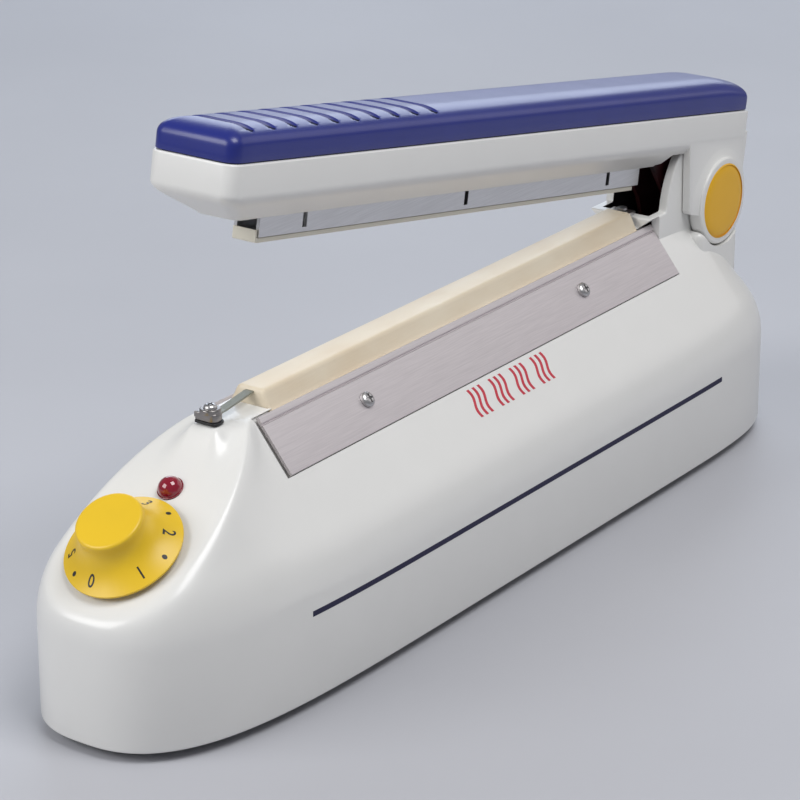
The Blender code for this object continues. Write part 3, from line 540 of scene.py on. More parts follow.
def side_height(depth):
    """Height of the housing's side at a distance inwards from its outline."""
    turn = atan(1 / SLOPE)
    tangent = SHOULDER_RADIUS * (1 - cos(turn))
    if depth >= tangent:
        return WALL_TOP + SHOULDER_RADIUS * sin(turn) + SLOPE * (depth - tangent)
    return WALL_TOP + SHOULDER_RADIUS * sin(acos(1 - depth / SHOULDER_RADIUS))


def panel_height(y):
    """Height of the sloping control panel."""
    return PANEL_EDGE_Z + (y - NOSE_Y) * tan(PANEL_ANGLE)


def stand_height(x, y):
    """A low mound in front of the ridge that carries the front terminal."""
    over = max(TERMINAL_Y - 2.4 - y, y + 106.0, 0.0)
    return RIDGE_Z + 0.8 - STAND_SLOPE * hypot(1.2 * max(abs(x) - 4.0, 0.0), over)


def housing_height(depth, x, y, wall, top):
    """Height of the housing, or of the plain inner surface a wall below it."""
    side, panel = side_height(depth), panel_height(y)
    height = soft_min(side, panel, PANEL_BLEND) - wall
    if wall == 0.0:
        height += CREASE_BEAD * exp(-((side - panel) / CREASE_WIDTH) ** 2)
        height = -soft_min(-height, -stand_height(x, y), STAND_BLEND)
    return soft_min(height, top, TOP_BLEND)


def housing_depths():
    """Distances inwards of the plan rings: close together round the shoulder."""
    turn = atan(1 / SLOPE)
    rounded = [SHOULDER_RADIUS * (1 - cos(turn * i / 14)) for i in range(15)]
    return rounded + list(np.linspace(rounded[-1] + 0.6, 37.0, 46))


def housing_loft(name, wall, top, bottom, per_quarter, depths):
    """The housing's outside with a rounded lower edge, or its plain form a wall inside."""
    outline = plan_outline(wall, per_quarter)
    rings = []
    if wall == 0.0:
        for angle in (pi / 6 * i for i in range(4)):
            z = bottom + EDGE_RADIUS * (1 - cos(angle))
            edge = plan_outline(EDGE_RADIUS * (1 - sin(angle)), per_quarter)
            rings.append([(x, y, z) for x, y in edge])
    else:
        rings.append([(x, y, bottom) for x, y in outline])
    for depth in depths:
        share = 1.0 - depth / BODY_HALF_WIDTH
        ring = []
        for x, y in outline:
            spine = min(max(y, SPINE_Y[0]), SPINE_Y[1])
            reach = hypot(x, y - spine)
            place_y = spine + (y - spine) * share
            height = housing_height(reach * (1.0 - share), x * share, place_y, wall, top)
            ring.append((x * share, place_y, height))
        rings.append(ring)
    return loft(name, rings, per_quarter - 1)


def tower_outline():
    """The hinge tower's side view: a low front step, then a drum about the hinge."""
    hinge = (HINGE_Y, HINGE_Z)
    return ([(118.5, 62.0), (118.5, 88.0), (HINGE_Y - TOWER_RADIUS, 88.0)]
            + arc(hinge, TOWER_RADIUS, 170.0, 114.0, 24)
            + arc(hinge, TOWER_RADIUS - 2.0, 90.0, 78.0, 6)
            + [(TOWER_REAR_Y, 108.0), (TOWER_REAR_Y, 56.0)])


def slope_frame(y, side):
    """Matrix with its origin at the middle of a clamp and Z out of the slope."""
    right = (moved((CLAMP_TOP[0] + CLAMP_LOW[0]) / 2, y, (CLAMP_TOP[1] + CLAMP_LOW[1]) / 2)
             @ Matrix.Rotation(atan(SLOPE), 4, "Y"))
    return right if side > 0 else MIRROR @ right


def make_housing():
    """The housing: a hollow shell with inner bosses, joined to the tower, then cut."""
    housing = housing_loft("housing_shell", 0.0, RIDGE_Z, FOOT_HEIGHT, OUTLINE_POINTS,
                           housing_depths())
    hollow = housing_loft("hollow", WALL, RIDGE_Z - 9.0, -5.0, 12,
                          (0.0, 1.8, 6.3, 17.0, 28.5, 34.0, 37.0))
    bosses = []
    for number in range(1, 5):
        x, y, _ = middle(f"base_screw_{number}")
        bosses.append(rod("boss", 4.5, (x, y, 6.0), (x, y, 34.0)))
    for side_name, side in SIDES:
        for end in ENDS:
            y = middle(f"clamp_screw_{side_name}_{end}")[1]
            bosses.append(rod("clamp_boss", 3.4, (0, 0, -9.0), (0, 0, 3.0), 32,
                              slope_frame(y, side)))
    combine(hollow, bosses, "DIFFERENCE")
    gland_z = middle("cord_gland")[2]
    joined = [
        prism("tower", tower_outline(), -TOWER_HALF, TOWER_HALF, ACROSS, 0.7),
        block("shoulder", (-18.9, 18.9), (144.0, 171.5), (50.0, 77.0), 3.0),
        rod("inlet_boss", 11.0, (0, 166.0, gland_z), (0, 180.5, gland_z))]
    combine(housing, [hollow], "DIFFERENCE")
    combine(housing, joined, "UNION")
    cuts = [block("tower_hollow", (-TOWER_INNER_HALF, TOWER_INNER_HALF), (122.0, 167.5),
                  (45.0, 120.0)),
            block("bar_slot", (-7.0, 7.0), (SEAL_Y[0] - 1.8, SEAL_Y[1] + 0.3), (60.0, 96.0)),
            block("sheet_slot", (-8.7, 8.7), (SEAL_Y[0] - 0.6, SEAL_Y[1] + 0.3), (82.2, 96.0)),
            rod("terminal_bore", 1.6, (0, TERMINAL_Y, 79.2), (0, TERMINAL_Y, 90.0)),
            hinge_rod("bush_bore", 4.8, -14.0, 14.0),
            rod("spindle_bore", PANEL_BORE, (0, 0, -8.0), (0, 0, 4.0), 48, AT_KNOB),
            rod("lamp_bore", PANEL_BORE, (0, LAMP_SHIFT, -8.0), (0, LAMP_SHIFT, 4.0), 48, AT_KNOB),
            rod("gland_pocket", 8.6, (0, 179.6, gland_z), (0, 184.0, gland_z)),
            rod("gland_bore", 5.6, (0, 160.0, gland_z), (0, 184.0, gland_z))]
    for _, side in SIDES:
        cuts.append(hinge_rod("boss_recess", BOSS_RADIUS + 0.7, side * 13.0, side * 19.5, 96))
        cuts.append(block("clamp_seat", (-CLAMP_HALF - 0.7, CLAMP_HALF + 0.3),
                          (CLAMP_Y[0] - 1.5, CLAMP_Y[1] + 0.3), (-2.2, 12.0), 0.0,
                          slope_frame(0.0, side)))
    combine(housing, cuts, "DIFFERENCE")
    place(housing, IVORY, "base", "ivory_plastic", "housing")
    # Black inside the tower is painted shade.
    blacken_tower(housing)


def blacken_tower(housing):
    """Painted shade: the walls inside the tower get the black material, for the shade seen there
    past the arm.
    """
    housing.data.materials.append(BLACK)
    for face in housing.data.polygons:
        x, y, z = face.center / MM
        inside = abs(x) < TOWER_INNER_HALF + 0.1 and 121.9 < y < 167.6 and z > 50.0
        if inside and abs(face.normal.z) < 0.3:
            face.material_index = 1


def outline_x(y):
    """Half width of the housing's outline at a place along Y."""
    rear = y > PLAN_CENTRE_Y
    powers = REAR_POWERS if rear else FRONT_POWERS
    reach = REAR_Y - PLAN_CENTRE_Y if rear else PLAN_CENTRE_Y - NOSE_Y
    ratio = abs(y - PLAN_CENTRE_Y) / reach
    return BODY_HALF_WIDTH * (1 - ratio ** powers[0]) ** (1 / powers[1])


def make_stripes():
    """A thin navy line along each side of the housing."""
    z, half = STRIPE_Z, STRIPE_HALF
    for side_name, side in SIDES:
        rings = []
        for station in np.linspace(*STRIPE_Y, 90):
            x = outline_x(station)
            section = ((x - 0.15, z - half), (x + 0.06, z - half + 0.05),
                       (x + 0.06, z + half - 0.05), (x - 0.15, z + half))
            rings.append([(side * a, station, b) for a, b in section])
        place(loft(f"side_stripe_{side_name}", rings), INK, "base", "ivory_plastic")


# ---- seal bar

def resampled(line, spacing):
    """A polyline with points at about an even spacing, and its length."""
    points = np.array(line)
    steps = np.hypot(*np.diff(points, axis=0).T)
    length = np.concatenate(([0.0], np.cumsum(steps)))
    wanted = np.linspace(0.0, length[-1], int(length[-1] / spacing) + 1)
    return [tuple(p) for p in np.column_stack([np.interp(wanted, length, points[:, k])
                                               for k in (0, 1)])], length[-1]


def make_sheet():
    """The release sheet over the seal bar, tucked under both clamps."""
    right = [(0.0, SEAL_TOP, 0), (SEAL_HALF, SEAL_TOP, 1.1), (8.0, 83.6, 2.0), (11.5, 79.2, 0)]
    line, half_width = resampled(softened(right), 0.45)
    line = [(-x, z) for x, z in reversed(line[1:])] + line
    normals = []
    for i in range(len(line)):
        before, after = line[max(i - 1, 0)], line[min(i + 1, len(line) - 1)]
        along = Vector((after[0] - before[0], after[1] - before[1])).normalized()
        normals.append(Vector((-along.y, along.x)))
    folded = [(SEAL_Y[0] - 1.7 * cos(a), -FOLD * (1 - sin(a)) ** 1.4)
              for a in np.linspace(0.0, pi / 2, 8)]
    stations = folded + [(y, 0.0) for y in np.linspace(SEAL_Y[0] + 1.5, SEAL_Y[1], 110)]
    rings = []
    for y, fall in stations:
        outer, inner = [], []
        for (x, z), normal in zip(line, normals):
            ripple = 0.07 * (noise.noise(Vector((x * 0.12, y * 0.035, z * 0.12))) - 0.3)
            for side, shift in ((outer, ripple), (inner, ripple - SHEET_THICKNESS)):
                side.append((x + normal.x * shift, y, z + normal.y * shift + fall))
        rings.append(outer + inner[::-1])
    sheet = place(loft("release_sheet", rings), CLOTH, "base", "ptfe_cloth", "ptfe_sheet")


def pan_screw(name, matrix, radius, height, shank, node):
    """A pan-head screw with a cross recess, its head standing on the matrix's XY plane."""
    profile = ([(0.0, height)] + arc((radius * 0.35, height * 0.25), height * 0.75, 88.0, 20.0, 8))
    widening = (radius - profile[-1][0]) / (len(profile) - 1)
    profile = [(r + widening * i, z) for i, (r, z) in enumerate(profile)]
    profile += [(radius, height * 0.3), (radius, 0.0), (shank[0], 0.0), (shank[0], -shank[1]),
                (0.0, -shank[1])]
    screw = lathe(name, profile, matrix, 48)
    long, wide, deep = radius * 0.58, radius * 0.15, height * 0.55
    slots = [block("slot", (-a, a), (-b, b), (height - deep, height + 1.0), 0.0, matrix)
             for a, b in ((long, wide), (wide, long))]
    place(combine(screw, slots, "DIFFERENCE"), STEEL, "base", "satin_steel", node)


def make_heat_marks():
    """Red wavy lines on the right slope, a plain sign for a hot bar."""
    bm = bmesh.new()
    start, length, swing_width, half = 12.0, 10.0, 0.75, 0.62
    for number in range(12):
        centre = -13.0 + 12.4 * (number // 3) + 3.0 * (number % 3)
        rings = []
        for u in np.linspace(start, start + length, 25):
            v = centre + swing_width * sin((u - start) / length * 2 * pi)
            rings.append(((u, v - half, -0.2), (u, v - half, 0.05), (u, v + half, 0.05),
                          (u, v + half, -0.2)))
        rows = skin(bm, rings)
        bm.faces.new(rows[0])
        bm.faces.new(rows[-1])
    marks = add_object("heat_marks", mesh_of("heat_marks", bm, slope_frame(0.0, 1)))
    place(marks, RED_INK, "base", "ivory_plastic")


def make_clamps():
    """The metal plates that hold the sheet's edges: a raised hem above a flat satin face."""
    low, high = -CLAMP_HALF, CLAMP_HALF
    section = [(low, -1.0, 0.0), (high, -1.0, 0.0), (high, -0.02, 0.25), (low + 3.0, 0.0, 0.12),
               (low + 2.75, -0.55, 0.1), (low + 2.45, -0.55, 0.1), (low + 2.2, 0.28, 0.25),
               (low, 0.28, 0.3)]
    outline = softened(section, True)
    for side_name, side in SIDES:
        matrix = slope_frame(0.0, side)
        plate = prism(f"clamp_plate_{side_name}", outline, -CLAMP_Y[1], -CLAMP_Y[0],
                      matrix @ LENGTHWISE)
        place(plate, PLATE, "base", "clamp_plate", f"sheet_clamp_{side_name}")
        for end in ENDS:
            node = f"clamp_screw_{side_name}_{end}"
            at = slope_frame(middle(node)[1], side)
            pan_screw(f"clamp_pan_screw_{side_name}_{end}", at @ moved(0.0, 0.0, 0.1), 2.6, 1.7,
                      (1.3, 7.0), node)


def make_terminal():
    """The front clip of the heater ribbon: insulated foot, bent clip, saddle and screw."""
    y, base = TERMINAL_Y, span("front_terminal")[0].z
    foot = prism("terminal_foot", softened([(-4.1, y - 2.8, 1.0), (4.1, y - 2.8, 2.2),
                 (4.1, y + 2.8, 2.2), (-4.1, y + 2.8, 1.0)], True), base, base + 0.8, None, 0.15)
    place(foot, BLACK, "base", "black_plastic")
    outline = softened([(-3.9, y - 2.5, 0.5), (3.7, y - 2.5, 2.3), (3.7, y + 2.5, 2.3),
                        (-3.9, y + 2.5, 0.5)], True)
    clip = prism("terminal_clip", outline, base + 0.8, base + 3.5, None, 0.35)
    saddle = lathe("saddle", softened([(2.0, base + 4.7, 0.3), (3.3, base + 4.7, 0.5),
                                       (3.3, base + 3.2, 0.1), (2.0, base + 3.2, 0.1)], True),
                   moved(0.2, y, 0.0), 48, True)
    lug = block("lug", (-5.0, -3.2), (y - 1.6, y + 1.2), (base + 1.2, base + 3.0), 0.35)
    combine(clip, [saddle, lug], "UNION")
    place(clip, DARKENED_TERMINAL_STEEL, "base", "satin_steel", "front_terminal")
    pan_screw("terminal_pan_screw", moved(0.2, y, base + 3.9), 2.1, 2.1, (1.2, 7.0),
              "front_terminal_screw")


# ---- controls

def skirt_height(radius):
    """Height of the knob's concave skirt at a radius."""
    share = max(radius - KNOB_WAIST, 0.0) / (KNOB_RADIUS - KNOB_WAIST)
    return FLARE_LOW + FLARE_RISE * (1 - share ** (1 / FLARE_POWER))


def make_knob():
    """The timer knob: a flat top on a flared skirt, hollow below."""
    radii = [KNOB_WAIST + (KNOB_RADIUS - KNOB_WAIST) * (i / 32) ** FLARE_POWER for i in range(33)]
    flare = [(radius, skirt_height(radius)) for radius in radii]
    top = softened([(0.0, KNOB_HEIGHT, 0), (KNOB_TOP_RADIUS, KNOB_HEIGHT, 1.5),
                    (KNOB_WAIST, flare[0][1], 0)], steps=8)
    rim = softened([(*flare[-1], 0), (KNOB_RADIUS, 1.9, 0.3), (17.0, 1.9, 0.3), (14.0, 3.0, 0.3),
                    (8.5, 5.5, 0.3), (5.9, 5.5, 0), (5.9, 3.2, 0), (3.3, 3.2, 0), (3.3, 12.0, 0),
                    (0.0, 12.0, 0)])
    place(lathe("timer_dial", top[:-1] + flare + rim[1:], AT_KNOB, 128), YELLOW, "timer_knob",
          "yellow_plastic", "timer_knob")
    make_dial_marks()


def laid_on_skirt(bm):
    """Drop flat marks onto the skirt, tops just proud of it and undersides inside."""
    for vertex in bm.verts:
        lift = 0.06 if vertex.co.z > 0.0 else -0.12
        vertex.co.z = skirt_height(hypot(vertex.co.x, vertex.co.y)) + lift


def numeral(digit, angle):
    """A digit drawn flat at a place on the dial, its top pointing outwards."""
    curve = bpy.data.curves.new("numeral", "FONT")
    curve.body = str(digit)
    curve.size = 4.6
    curve.extrude = 0.1
    curve.offset = 0.05
    curve.align_x = curve.align_y = "CENTER"
    obj = add_object("numeral", curve)
    bpy.context.view_layer.update()
    mesh = evaluated_mesh(obj)
    bpy.data.objects.remove(obj)
    mesh.transform(Matrix.Rotation(angle - pi / 2, 4, "Z")
                   @ Matrix.Translation((0.0, DIGIT_RADIUS, 0.0)))
    return mesh


def make_dial_marks():
    """Numbers 0 to 5 round the skirt with dots between them."""
    bm = bmesh.new()
    for digit in range(6):
        mesh = numeral(digit, DIAL_START + DIAL_STEP * digit)
        bm.from_mesh(mesh)
        bpy.data.meshes.remove(mesh)
    bmesh.ops.remove_doubles(bm, verts=bm.verts, dist=0.001)
    for half_step in (1.5, 2.5, 3.5, 5.45):
        angle = DIAL_START + DIAL_STEP * half_step
        at = Matrix.Translation((DOT_RADIUS * cos(angle), DOT_RADIUS * sin(angle), 0.0))
        bmesh.ops.create_cone(bm, cap_ends=True, segments=20, radius1=0.72, radius2=0.72,
                              depth=0.2, matrix=at)
    bmesh.ops.triangulate(bm, faces=bm.faces)
    bmesh.ops.subdivide_edges(bm, edges=[e for e in bm.edges if e.calc_length() > 0.7], cuts=2)
    laid_on_skirt(bm)
    place(add_object("dial_marks", mesh_of("dial_marks", bm, AT_KNOB)), BLACK, "timer_knob",
          "black_plastic")


def make_lamp():
    """The red lamp: a domed lens, hollow below."""
    at = AT_KNOB @ moved(0.0, LAMP_SHIFT, 0.0)
    profile = [(0.0, 4.15)] + arc((0.0, 0.2), 3.95, 86.0, 6.0, 18)
    profile += softened([(3.95, 0.7, 0), (LAMP_RADIUS, 0.7, 0.1), (LAMP_RADIUS, 0.15, 0.1),
                         (3.9, 0.1, 0), (3.9, -4.5, 0), (3.2, -4.5, 0), (3.2, 1.2, 0),
                         (0.0, 2.4, 0)])
    place(lathe("lamp_dome", profile, at, 64), RED_LENS, "base", "red_lens", "lamp_lens")


def make_gland():
    """The round inlet for the cord at the rear."""
    rear_y = span("cord_gland")[1].y
    at = (moved(0.0, rear_y - 2.0, middle("cord_gland")[2])
          @ Matrix.Rotation(-pi / 2, 4, "X"))
    profile = softened([(3.4, 2.0, 0.4), (7.6, 2.0, 0.8), (8.2, 0.0, 0.3), (5.2, 0.0, 0.2),
                        (5.2, -12.0, 0.4), (3.4, -12.0, 0.4)], True)
    place(lathe("inlet_gland", profile, at, 64, True), BLACK, "base", "black_plastic",
          "cord_gland")


def make_feet():
    """Four rubber feet with a hollow for the screw's head."""
    for number in range(1, 5):
        low, high = span(f"foot_{number}")
        x, y, _ = middle(f"foot_{number}")
        at = moved(x, y, low.z)
        radius, height = (high.x - low.x) / 2, high.z - low.z
        profile = softened([(0.0, height, 0), (radius - 0.5, height, 0.3), (radius, 0.0, 0.8),
                            (2.6, 0.0, 0.4), (2.2, 1.4, 0.3), (0.0, 1.4, 0)])
        place(lathe(f"rubber_foot_{number}", profile, at, 48), RUBBER, "base", "rubber",
              f"foot_{number}")


# ---- arm

def rounded_outline(half_width, y, front_radius, rear_radius, sides=(), corner_points=9):
    """Points of a rounded rectangle in plan, anticlockwise."""
    points = []
    corners = ((half_width - rear_radius, y[1] - rear_radius, rear_radius, 0.0),
               (-half_width + rear_radius, y[1] - rear_radius, rear_radius, 90.0),
               (-half_width + front_radius, y[0] + front_radius, front_radius, 180.0),
               (half_width - front_radius, y[0] + front_radius, front_radius, 270.0))
    for x, centre_y, radius, start in corners:
        points += arc((x, centre_y), radius, start, start + 90.0, corner_points)
        if start == 90.0:
            points += [(-half_width, station) for station in reversed(sides)]
    return points + [(half_width, station) for station in sides]


def arm_ring(share, z, edge):
    """One plan section of the arm's shell between its keel (0) and its full width (1)."""
    low = rounded_outline(KEEL_HALF - edge, (KEEL_Y[0] + edge, KEEL_Y[1] - edge), 3.5, 2.4)
    full = rounded_outline(ARM_HALF - edge, (ARM_Y[0] + edge, ARM_Y[1] - edge), 5.0, 2.4)
    return [(a + (c - a) * share, b + (d - b) * share, z)
            for (a, b), (c, d) in zip(low, full)]


def arm_rings():
    """Plan sections of the arm's shell: keel, flaring sides and a rounded upper lip."""
    rings = []
    radius, lip = 1.0, 0.6
    for i in range(4):
        angle = pi / 2 * i / 4
        rings.append(arm_ring(0.0, KEEL_Z + radius * (1 - cos(angle)),
                              radius * (1 - sin(angle))))
    rise = ARM_WALL_Z - KEEL_Z
    for z in np.linspace(KEEL_Z + radius, ARM_WALL_Z + 3.0, 18):
        share = soft_min((z - KEEL_Z - 0.6) / rise * 1.16, 1.0, 0.3)
        rings.append(arm_ring(share, z, 0.0))
    for i in range(5):
        angle = pi / 2 * i / 4
        rings.append(arm_ring(1.0, PARTING_Z - lip + lip * sin(angle),
                              lip * (1 - cos(angle))))
    return rings


def ear_round(inset):
    """Front corner and lower round of an ear, about the hinge."""
    return (arc((141.6, 83.2), 2.0, 190.0, 270.0, 8)
            + arc((HINGE_Y, HINGE_Z), BOSS_RADIUS - inset, 197.0, 320.0, 40))


def ear_outline():
    """Side view of an ear: straight edges joined by the boss's round."""
    return [(134.0, 110.0)] + ear_round(0.4) + [(ARM_Y[1], 79.0), (ARM_Y[1], 110.0)]


def fillet_limit():
    """Side view of the region that a boss's round fillet keeps to."""
    rear = ARM_Y[1] - 0.6
    return ([(134.5, 110.0)] + ear_round(0.5)
            + [(rear, 79.0), (rear, 116.0), (134.5, 116.0)])


def make_arm_shell():
    """The arm's shell with its ears and bosses, hollow, with slots for bar and tower."""
    shell = loft("arm_casing", arm_rings())
    added = [prism("ears", ear_outline(), -ARM_HALF + 0.02, ARM_HALF - 0.02, ACROSS, 0.5)]
    rim = softened([(0.0, 18.4, 0), (BOSS_RADIUS, 18.4, 0.9), (BOSS_RADIUS, 14.0, 0),
                    (0.0, 14.0, 0)])
    for _, side in SIDES:
        added.append(lathe("boss", rim, sideways(side), 96))
        flare = [(0.0, 18.0)] + [(15.4 + 4.6 * t, 18.0 - 1.9 * t ** 0.55)
                                 for t in np.linspace(0.0, 1.0, 14)] + [(20.0, 14.5), (0.0, 14.5)]
        fillet = lathe("fillet", flare, sideways(side), 96)
        limit = prism("limit", fillet_limit(), 14.0, 19.0, ACROSS)
        if side < 0:
            limit.data.transform(MIRROR)
            limit.data.flip_normals()
        added.append(combine(fillet, [limit], "INTERSECT"))
    combine(shell, added, "UNION")
    inner_y = (ARM_Y[0] + ARM_WALL, ARM_Y[1] - ARM_WALL)
    keel_inside = rounded_outline(8.0, (-117.0, 124.0), 3.5, 2.4)
    full_inside = rounded_outline(ARM_HALF - ARM_WALL, inner_y, 3.0, 0.4)
    levels = ((keel_inside, 101.3), (full_inside, ARM_WALL_Z + 0.9), (full_inside, PARTING_Z + 3.0))
    hollow = loft("arm_hollow", [[(x, y, z) for x, y in outline] for outline, z in levels])
    slot_half = TOWER_HALF + 0.5
    bar = span("press_bar", ARM_CLOSED)
    cuts = [hollow,
            block("bar_slot", (-5.3, 5.3), (bar[0].y - 1.2, 123.0), (90.0, 104.0)),
            block("frame_slot", (-7.3, 7.3), (121.4, 131.0), (90.0, 105.0)),
            block("tower_slot", (-slot_half, slot_half), (127.6, inner_y[1]), (55.0, 118.0)),
            block("rear_slot", (-slot_half, slot_half), (150.0, 178.0), (55.0, 93.0)),
            hinge_rod("pin_bore", PIN_BORE, -20, 20)]
    for _, side in SIDES:
        cuts.append(hinge_rod("cap_pocket", 13.8, side * 16.8, side * 20.0, 96))
    combine(shell, cuts, "DIFFERENCE")
    place(swing(shell), IVORY, "arm", "ivory_plastic", "arm_shell")


def cover_height(y, height):
    """Height above the parting plane; the top rises to the rear, then falls away."""
    behind = max(y - COVER_FALL_Y, 0.0) / (ARM_Y[1] - COVER_FALL_Y)
    return height * (1.0 + 0.0003 * y) * (1.0 - 0.22 * behind ** 2)


def cover_levels():
    """Inset and height of each plan ring, from the rim to the crown."""
    levels = [(COVER_EDGE + 0.35, 0.0), (COVER_EDGE + 0.1, 0.12), (COVER_EDGE, 0.4),
              (COVER_EDGE, 2.6), (COVER_EDGE, 4.4)]
    for i in range(1, 31):
        angle = pi / 2 * i / 30
        levels.append((COVER_EDGE + 11.3 * (1 - cos(angle) ** 0.87),
                       4.6 + (CROWN - 4.6) * sin(angle) ** 0.87))
    return levels


def groove_share(x, y):
    """How far a finger groove is cut at a place, 0 to 1, with soft rims and ends."""
    number = round((y - FIRST_GROOVE_Y) / GROOVE_PITCH)
    if not 0 <= number < GROOVE_COUNT:
        return 0.0
    across = abs(y - FIRST_GROOVE_Y - number * GROOVE_PITCH)
    past = max(abs(x) - (GROOVE_HALF - GROOVE_WIDTH / 2), 0.0)
    distance = hypot(across, past) - GROOVE_WIDTH / 2
    share = min(max(0.5 - distance / 0.5, 0.0), 1.0)
    return share * share * (3 - 2 * share)


def cover_stations():
    """Places along Y of points on the cover's sides, closest at the grooves."""
    last = FIRST_GROOVE_Y + GROOVE_PITCH * GROOVE_COUNT
    grooved = []
    offsets = (-1.9, -1.35, -1.2, -1.05, -0.9, -0.75, 0.0, 0.75, 0.9, 1.05, 1.2, 1.35, 1.9,
               3.4, 5.3, 7.2)
    for number in range(GROOVE_COUNT):
        grooved += [FIRST_GROOVE_Y + number * GROOVE_PITCH + offset for offset in offsets]
    return grooved + list(np.linspace(last - 1.5, 164.0, 56))


def cover_ring(side, height, inset=0.0, drop=0.0):
    """One ring of the grooved cover, or with an inset and a drop of its plain inside."""
    y = (ARM_Y[0] + 0.95 * side + inset, ARM_Y[1] - 0.6 * side - inset)
    outline = rounded_outline(ARM_HALF - side - inset, y, max(4.6 - side / 2 - inset, 0.8),
                              max(3.0 - side / 3 - inset, 0.8), cover_stations(), 7)
    crown = cover_height(0.0, CROWN)
    ring = []
    for x, station in outline:
        z = cover_height(station, height)
        if drop == 0.0:
            floor = cover_height(station, crown) - GROOVE_DEPTH
            z -= max(z - floor, 0.0) * groove_share(x, station)
        ring.append((x, station, PARTING_Z + 0.3 + z - drop))
    return ring


def make_cover():
    """The blue cover, a hollow shell, with painted shade on the floors of its grooves."""
    levels = cover_levels()
    inner = [cover_ring(side, height, 2.0, 3.0) for side, height in levels[::-4]]
    inner.append([(x, y, PARTING_Z + 0.3) for x, y, _ in inner[-1]])
    outer = [cover_ring(side, height) for side, height in levels]
    cover = loft("grip_dome", inner + outer, 6)
    crest = PARTING_Z + CROWN / 2
    # Faces on the groove floors take the darker blue: painted shade.
    grooved = [face.index for face in cover.data.polygons if face.center.z / MM > crest
               and groove_share(face.center.x / MM, face.center.y / MM) > 0.3]
    place(swing(cover), BLUE, "arm", "blue_grip", "grip_cover")
    cover.data.materials.append(GROOVE_SHADE_BLUE)
    for index in grooved:
        cover.data.polygons[index].material_index = 1


def make_pad():
    """The silicone strip under the press bar, its front end turned up."""
    low, high = span("silicone_pad", ARM_CLOSED)
    front = span("press_bar", ARM_CLOSED)[0].y
    outline = [(front - 1.0, low.z, 0.8), (high.y, low.z, 0.4), (high.y, high.z, 0),
               (front - 0.2, high.z, 0), (front - 0.2, high.z + 2.6, 0.3),
               (front - 1.0, high.z + 2.6, 0.3)]
    pad = prism("seal_pad", softened(outline, True), low.x + 0.1, high.x - 0.1, ACROSS, 0.2)
    place(swing(pad), CREAM, "press_bar", "silicone", "silicone_pad")


def make_caps():
    """Round covers over the ends of the hinge pin."""
    low, high = span("hinge_cap_right", ARM_CLOSED)
    profile = softened([(0.0, high.x + 0.12, 0), (13.0, high.x - 0.05, 3.0),
                        (13.5, high.x - 0.35, 0.3), (13.5, low.x, 0.2), (0.0, low.x, 0)])
    for side_name, side in SIDES:
        cap = lathe(f"pin_cover_{side_name}", profile, sideways(side), 96)
        place(swing(cap), CAP_YELLOW, "arm", "yellow_plastic", f"hinge_cap_{side_name}")


# ---- CAD nodes that stay

KEPT = (
    (STEEL, ("base_plate", "base_screw_1", "base_screw_2", "base_screw_3", "base_screw_4",
             "rear_terminal", "rear_terminal_screw", "transformer_core", "transformer_bolt_1",
             "transformer_bolt_2", "switch_bracket", "hinge_pin", "bar_pin_front",
             "bar_pin_middle", "bar_pin_rear", "knob_spindle")),
    (BLACK, ("relay", "capacitor", "timer_potentiometer", "microswitch")),
    (BRASS, ("potentiometer_nut", "hinge_bush_right", "hinge_bush_left")),
    (SPRING, ("return_spring", "bar_spring_front", "bar_spring_rear")),
    (ALUMINIUM, ("seal_bar_carrier", "press_bar")),
    (CLOTH, ("insulator_strip",)),
    (RIBBON, ("heater_ribbon",)),
    (COPPER, ("transformer_coil",)),
    (GREEN, ("timer_board",)),
    (RED_LENS, ("lamp_diode",)),
    (YELLOW, ("switch_plunger",)),
    (LEVER, ("arm_frame",)),
)


def dress_cad_nodes():
    """Materials on the CAD nodes that stay, and small bevels on their edges."""
    for mat, names in KEPT:
        for name in names:
            obj = frame["nodes"][name]
            obj.data.materials.clear()
            obj.data.materials.append(mat)
            if "spring" not in name:
                bevel = obj.modifiers.new("Bevel", "BEVEL")
                bevel.width = 0.15 * MM
                bevel.segments = 2
                bevel.limit_method = "ANGLE"
                bevel.angle_limit = radians(50.0)
                bevel.use_clamp_overlap = True


def shorten_springs():
    """Give the bar's springs meshes of their own; their shortening as the press bar is pushed up is
    not drawn here.
    """
    for end in ENDS:
        name = f"bar_spring_{end}"
        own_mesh(frame["nodes"][name])


# ---- stage

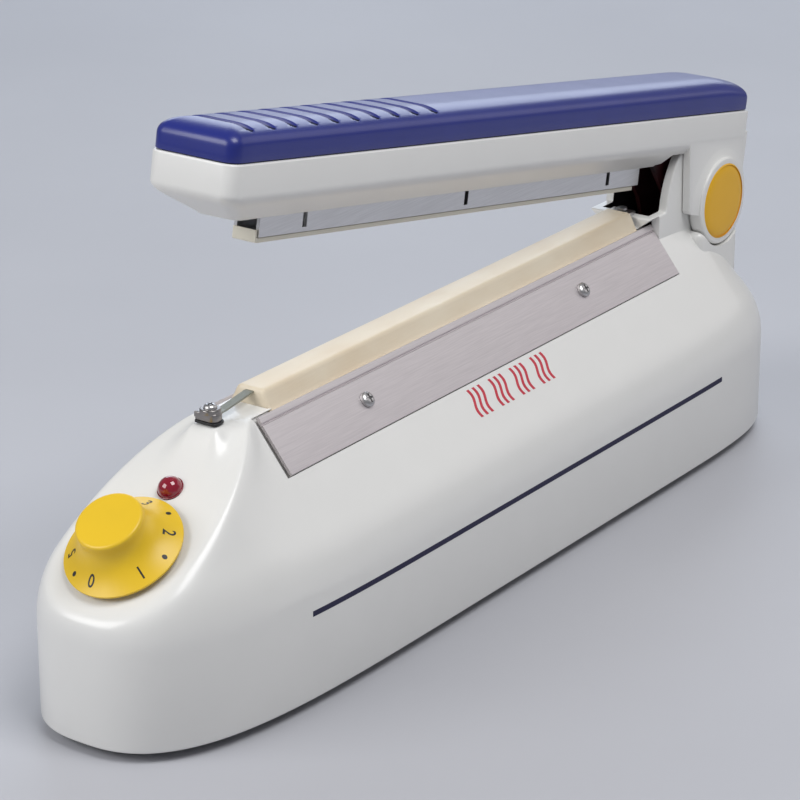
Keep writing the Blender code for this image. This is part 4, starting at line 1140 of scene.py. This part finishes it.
def area_light(name, location, target, size, power, colour=(1.0, 1.0, 1.0)):
    """A rectangular lamp aimed at a target and hidden from the camera."""
    light = bpy.data.lights.new(name, "AREA")
    light.shape = "RECTANGLE"
    light.size, light.size_y = size
    light.energy = power
    light.color = colour
    obj = add_object(name, light)
    obj.location = location
    obj.rotation_euler = (Vector(target) - Vector(location)).to_track_quat("-Z", "Y").to_euler()
    obj.visible_camera = False


def make_camera():
    """The camera of the main view: in front, to the right and a little above."""
    camera = bpy.data.cameras.new("camera")
    camera.lens = 145.4
    camera.sensor_width = 36.0
    obj = add_object("camera", camera)
    obj.location = (0.5677, -0.8257, 0.4428)
    obj.rotation_euler = (radians(68.81), 0.0, radians(35.11))
    bpy.context.scene.camera = obj


def make_stage():
    """Pale floor, soft surroundings and four lamps."""
    bm = bmesh.new()
    bmesh.ops.create_grid(bm, x_segments=1, y_segments=1, size=8000.0)
    floor = add_object("floor", mesh_of("floor", bm))
    floor.location.z = -0.0002
    mat, shader = principled("pale_floor", (0.50, 0.505, 0.54), 0.6)
    vary(mat, shader, (0.51, 0.515, 0.55), (0.48, 0.485, 0.52), coordinates(mat), 0.004,
         (0.5, 0.6))
    floor.data.materials.append(mat)
    world = bpy.data.worlds.new("studio")
    world.use_nodes = True
    background = world.node_tree.nodes["Background"]
    background.inputs["Color"].default_value = (0.83, 0.85, 0.90, 1.0)
    background.inputs["Strength"].default_value = 0.27
    bpy.context.scene.world = world
    bpy.context.scene.view_settings.view_transform = "Standard"
    target = (0.0, 0.0, 0.08)
    area_light("key", (0.55, -0.15, 1.3), target, (0.7, 0.7), 10.5)
    area_light("top_sheen", (-0.87, 1.22, 0.62), target, (1.2, 0.8), 6.5, (0.78, 0.87, 1.0))
    area_light("plate_sheen", (0.72, 1.15, 0.68), target, (1.0, 0.8), 1.8, (1.0, 0.96, 0.96))
    area_light("front_left", (-0.5, -0.95, 0.7), target, (0.7, 0.6), 6.5)


make_camera()
make_stage()
make_housing()
make_stripes()
make_sheet()
make_clamps()
make_heat_marks()
make_terminal()
make_knob()
make_lamp()
make_gland()
make_feet()
make_arm_shell()
make_cover()
make_pad()
make_caps()
dress_cad_nodes()
shorten_springs()
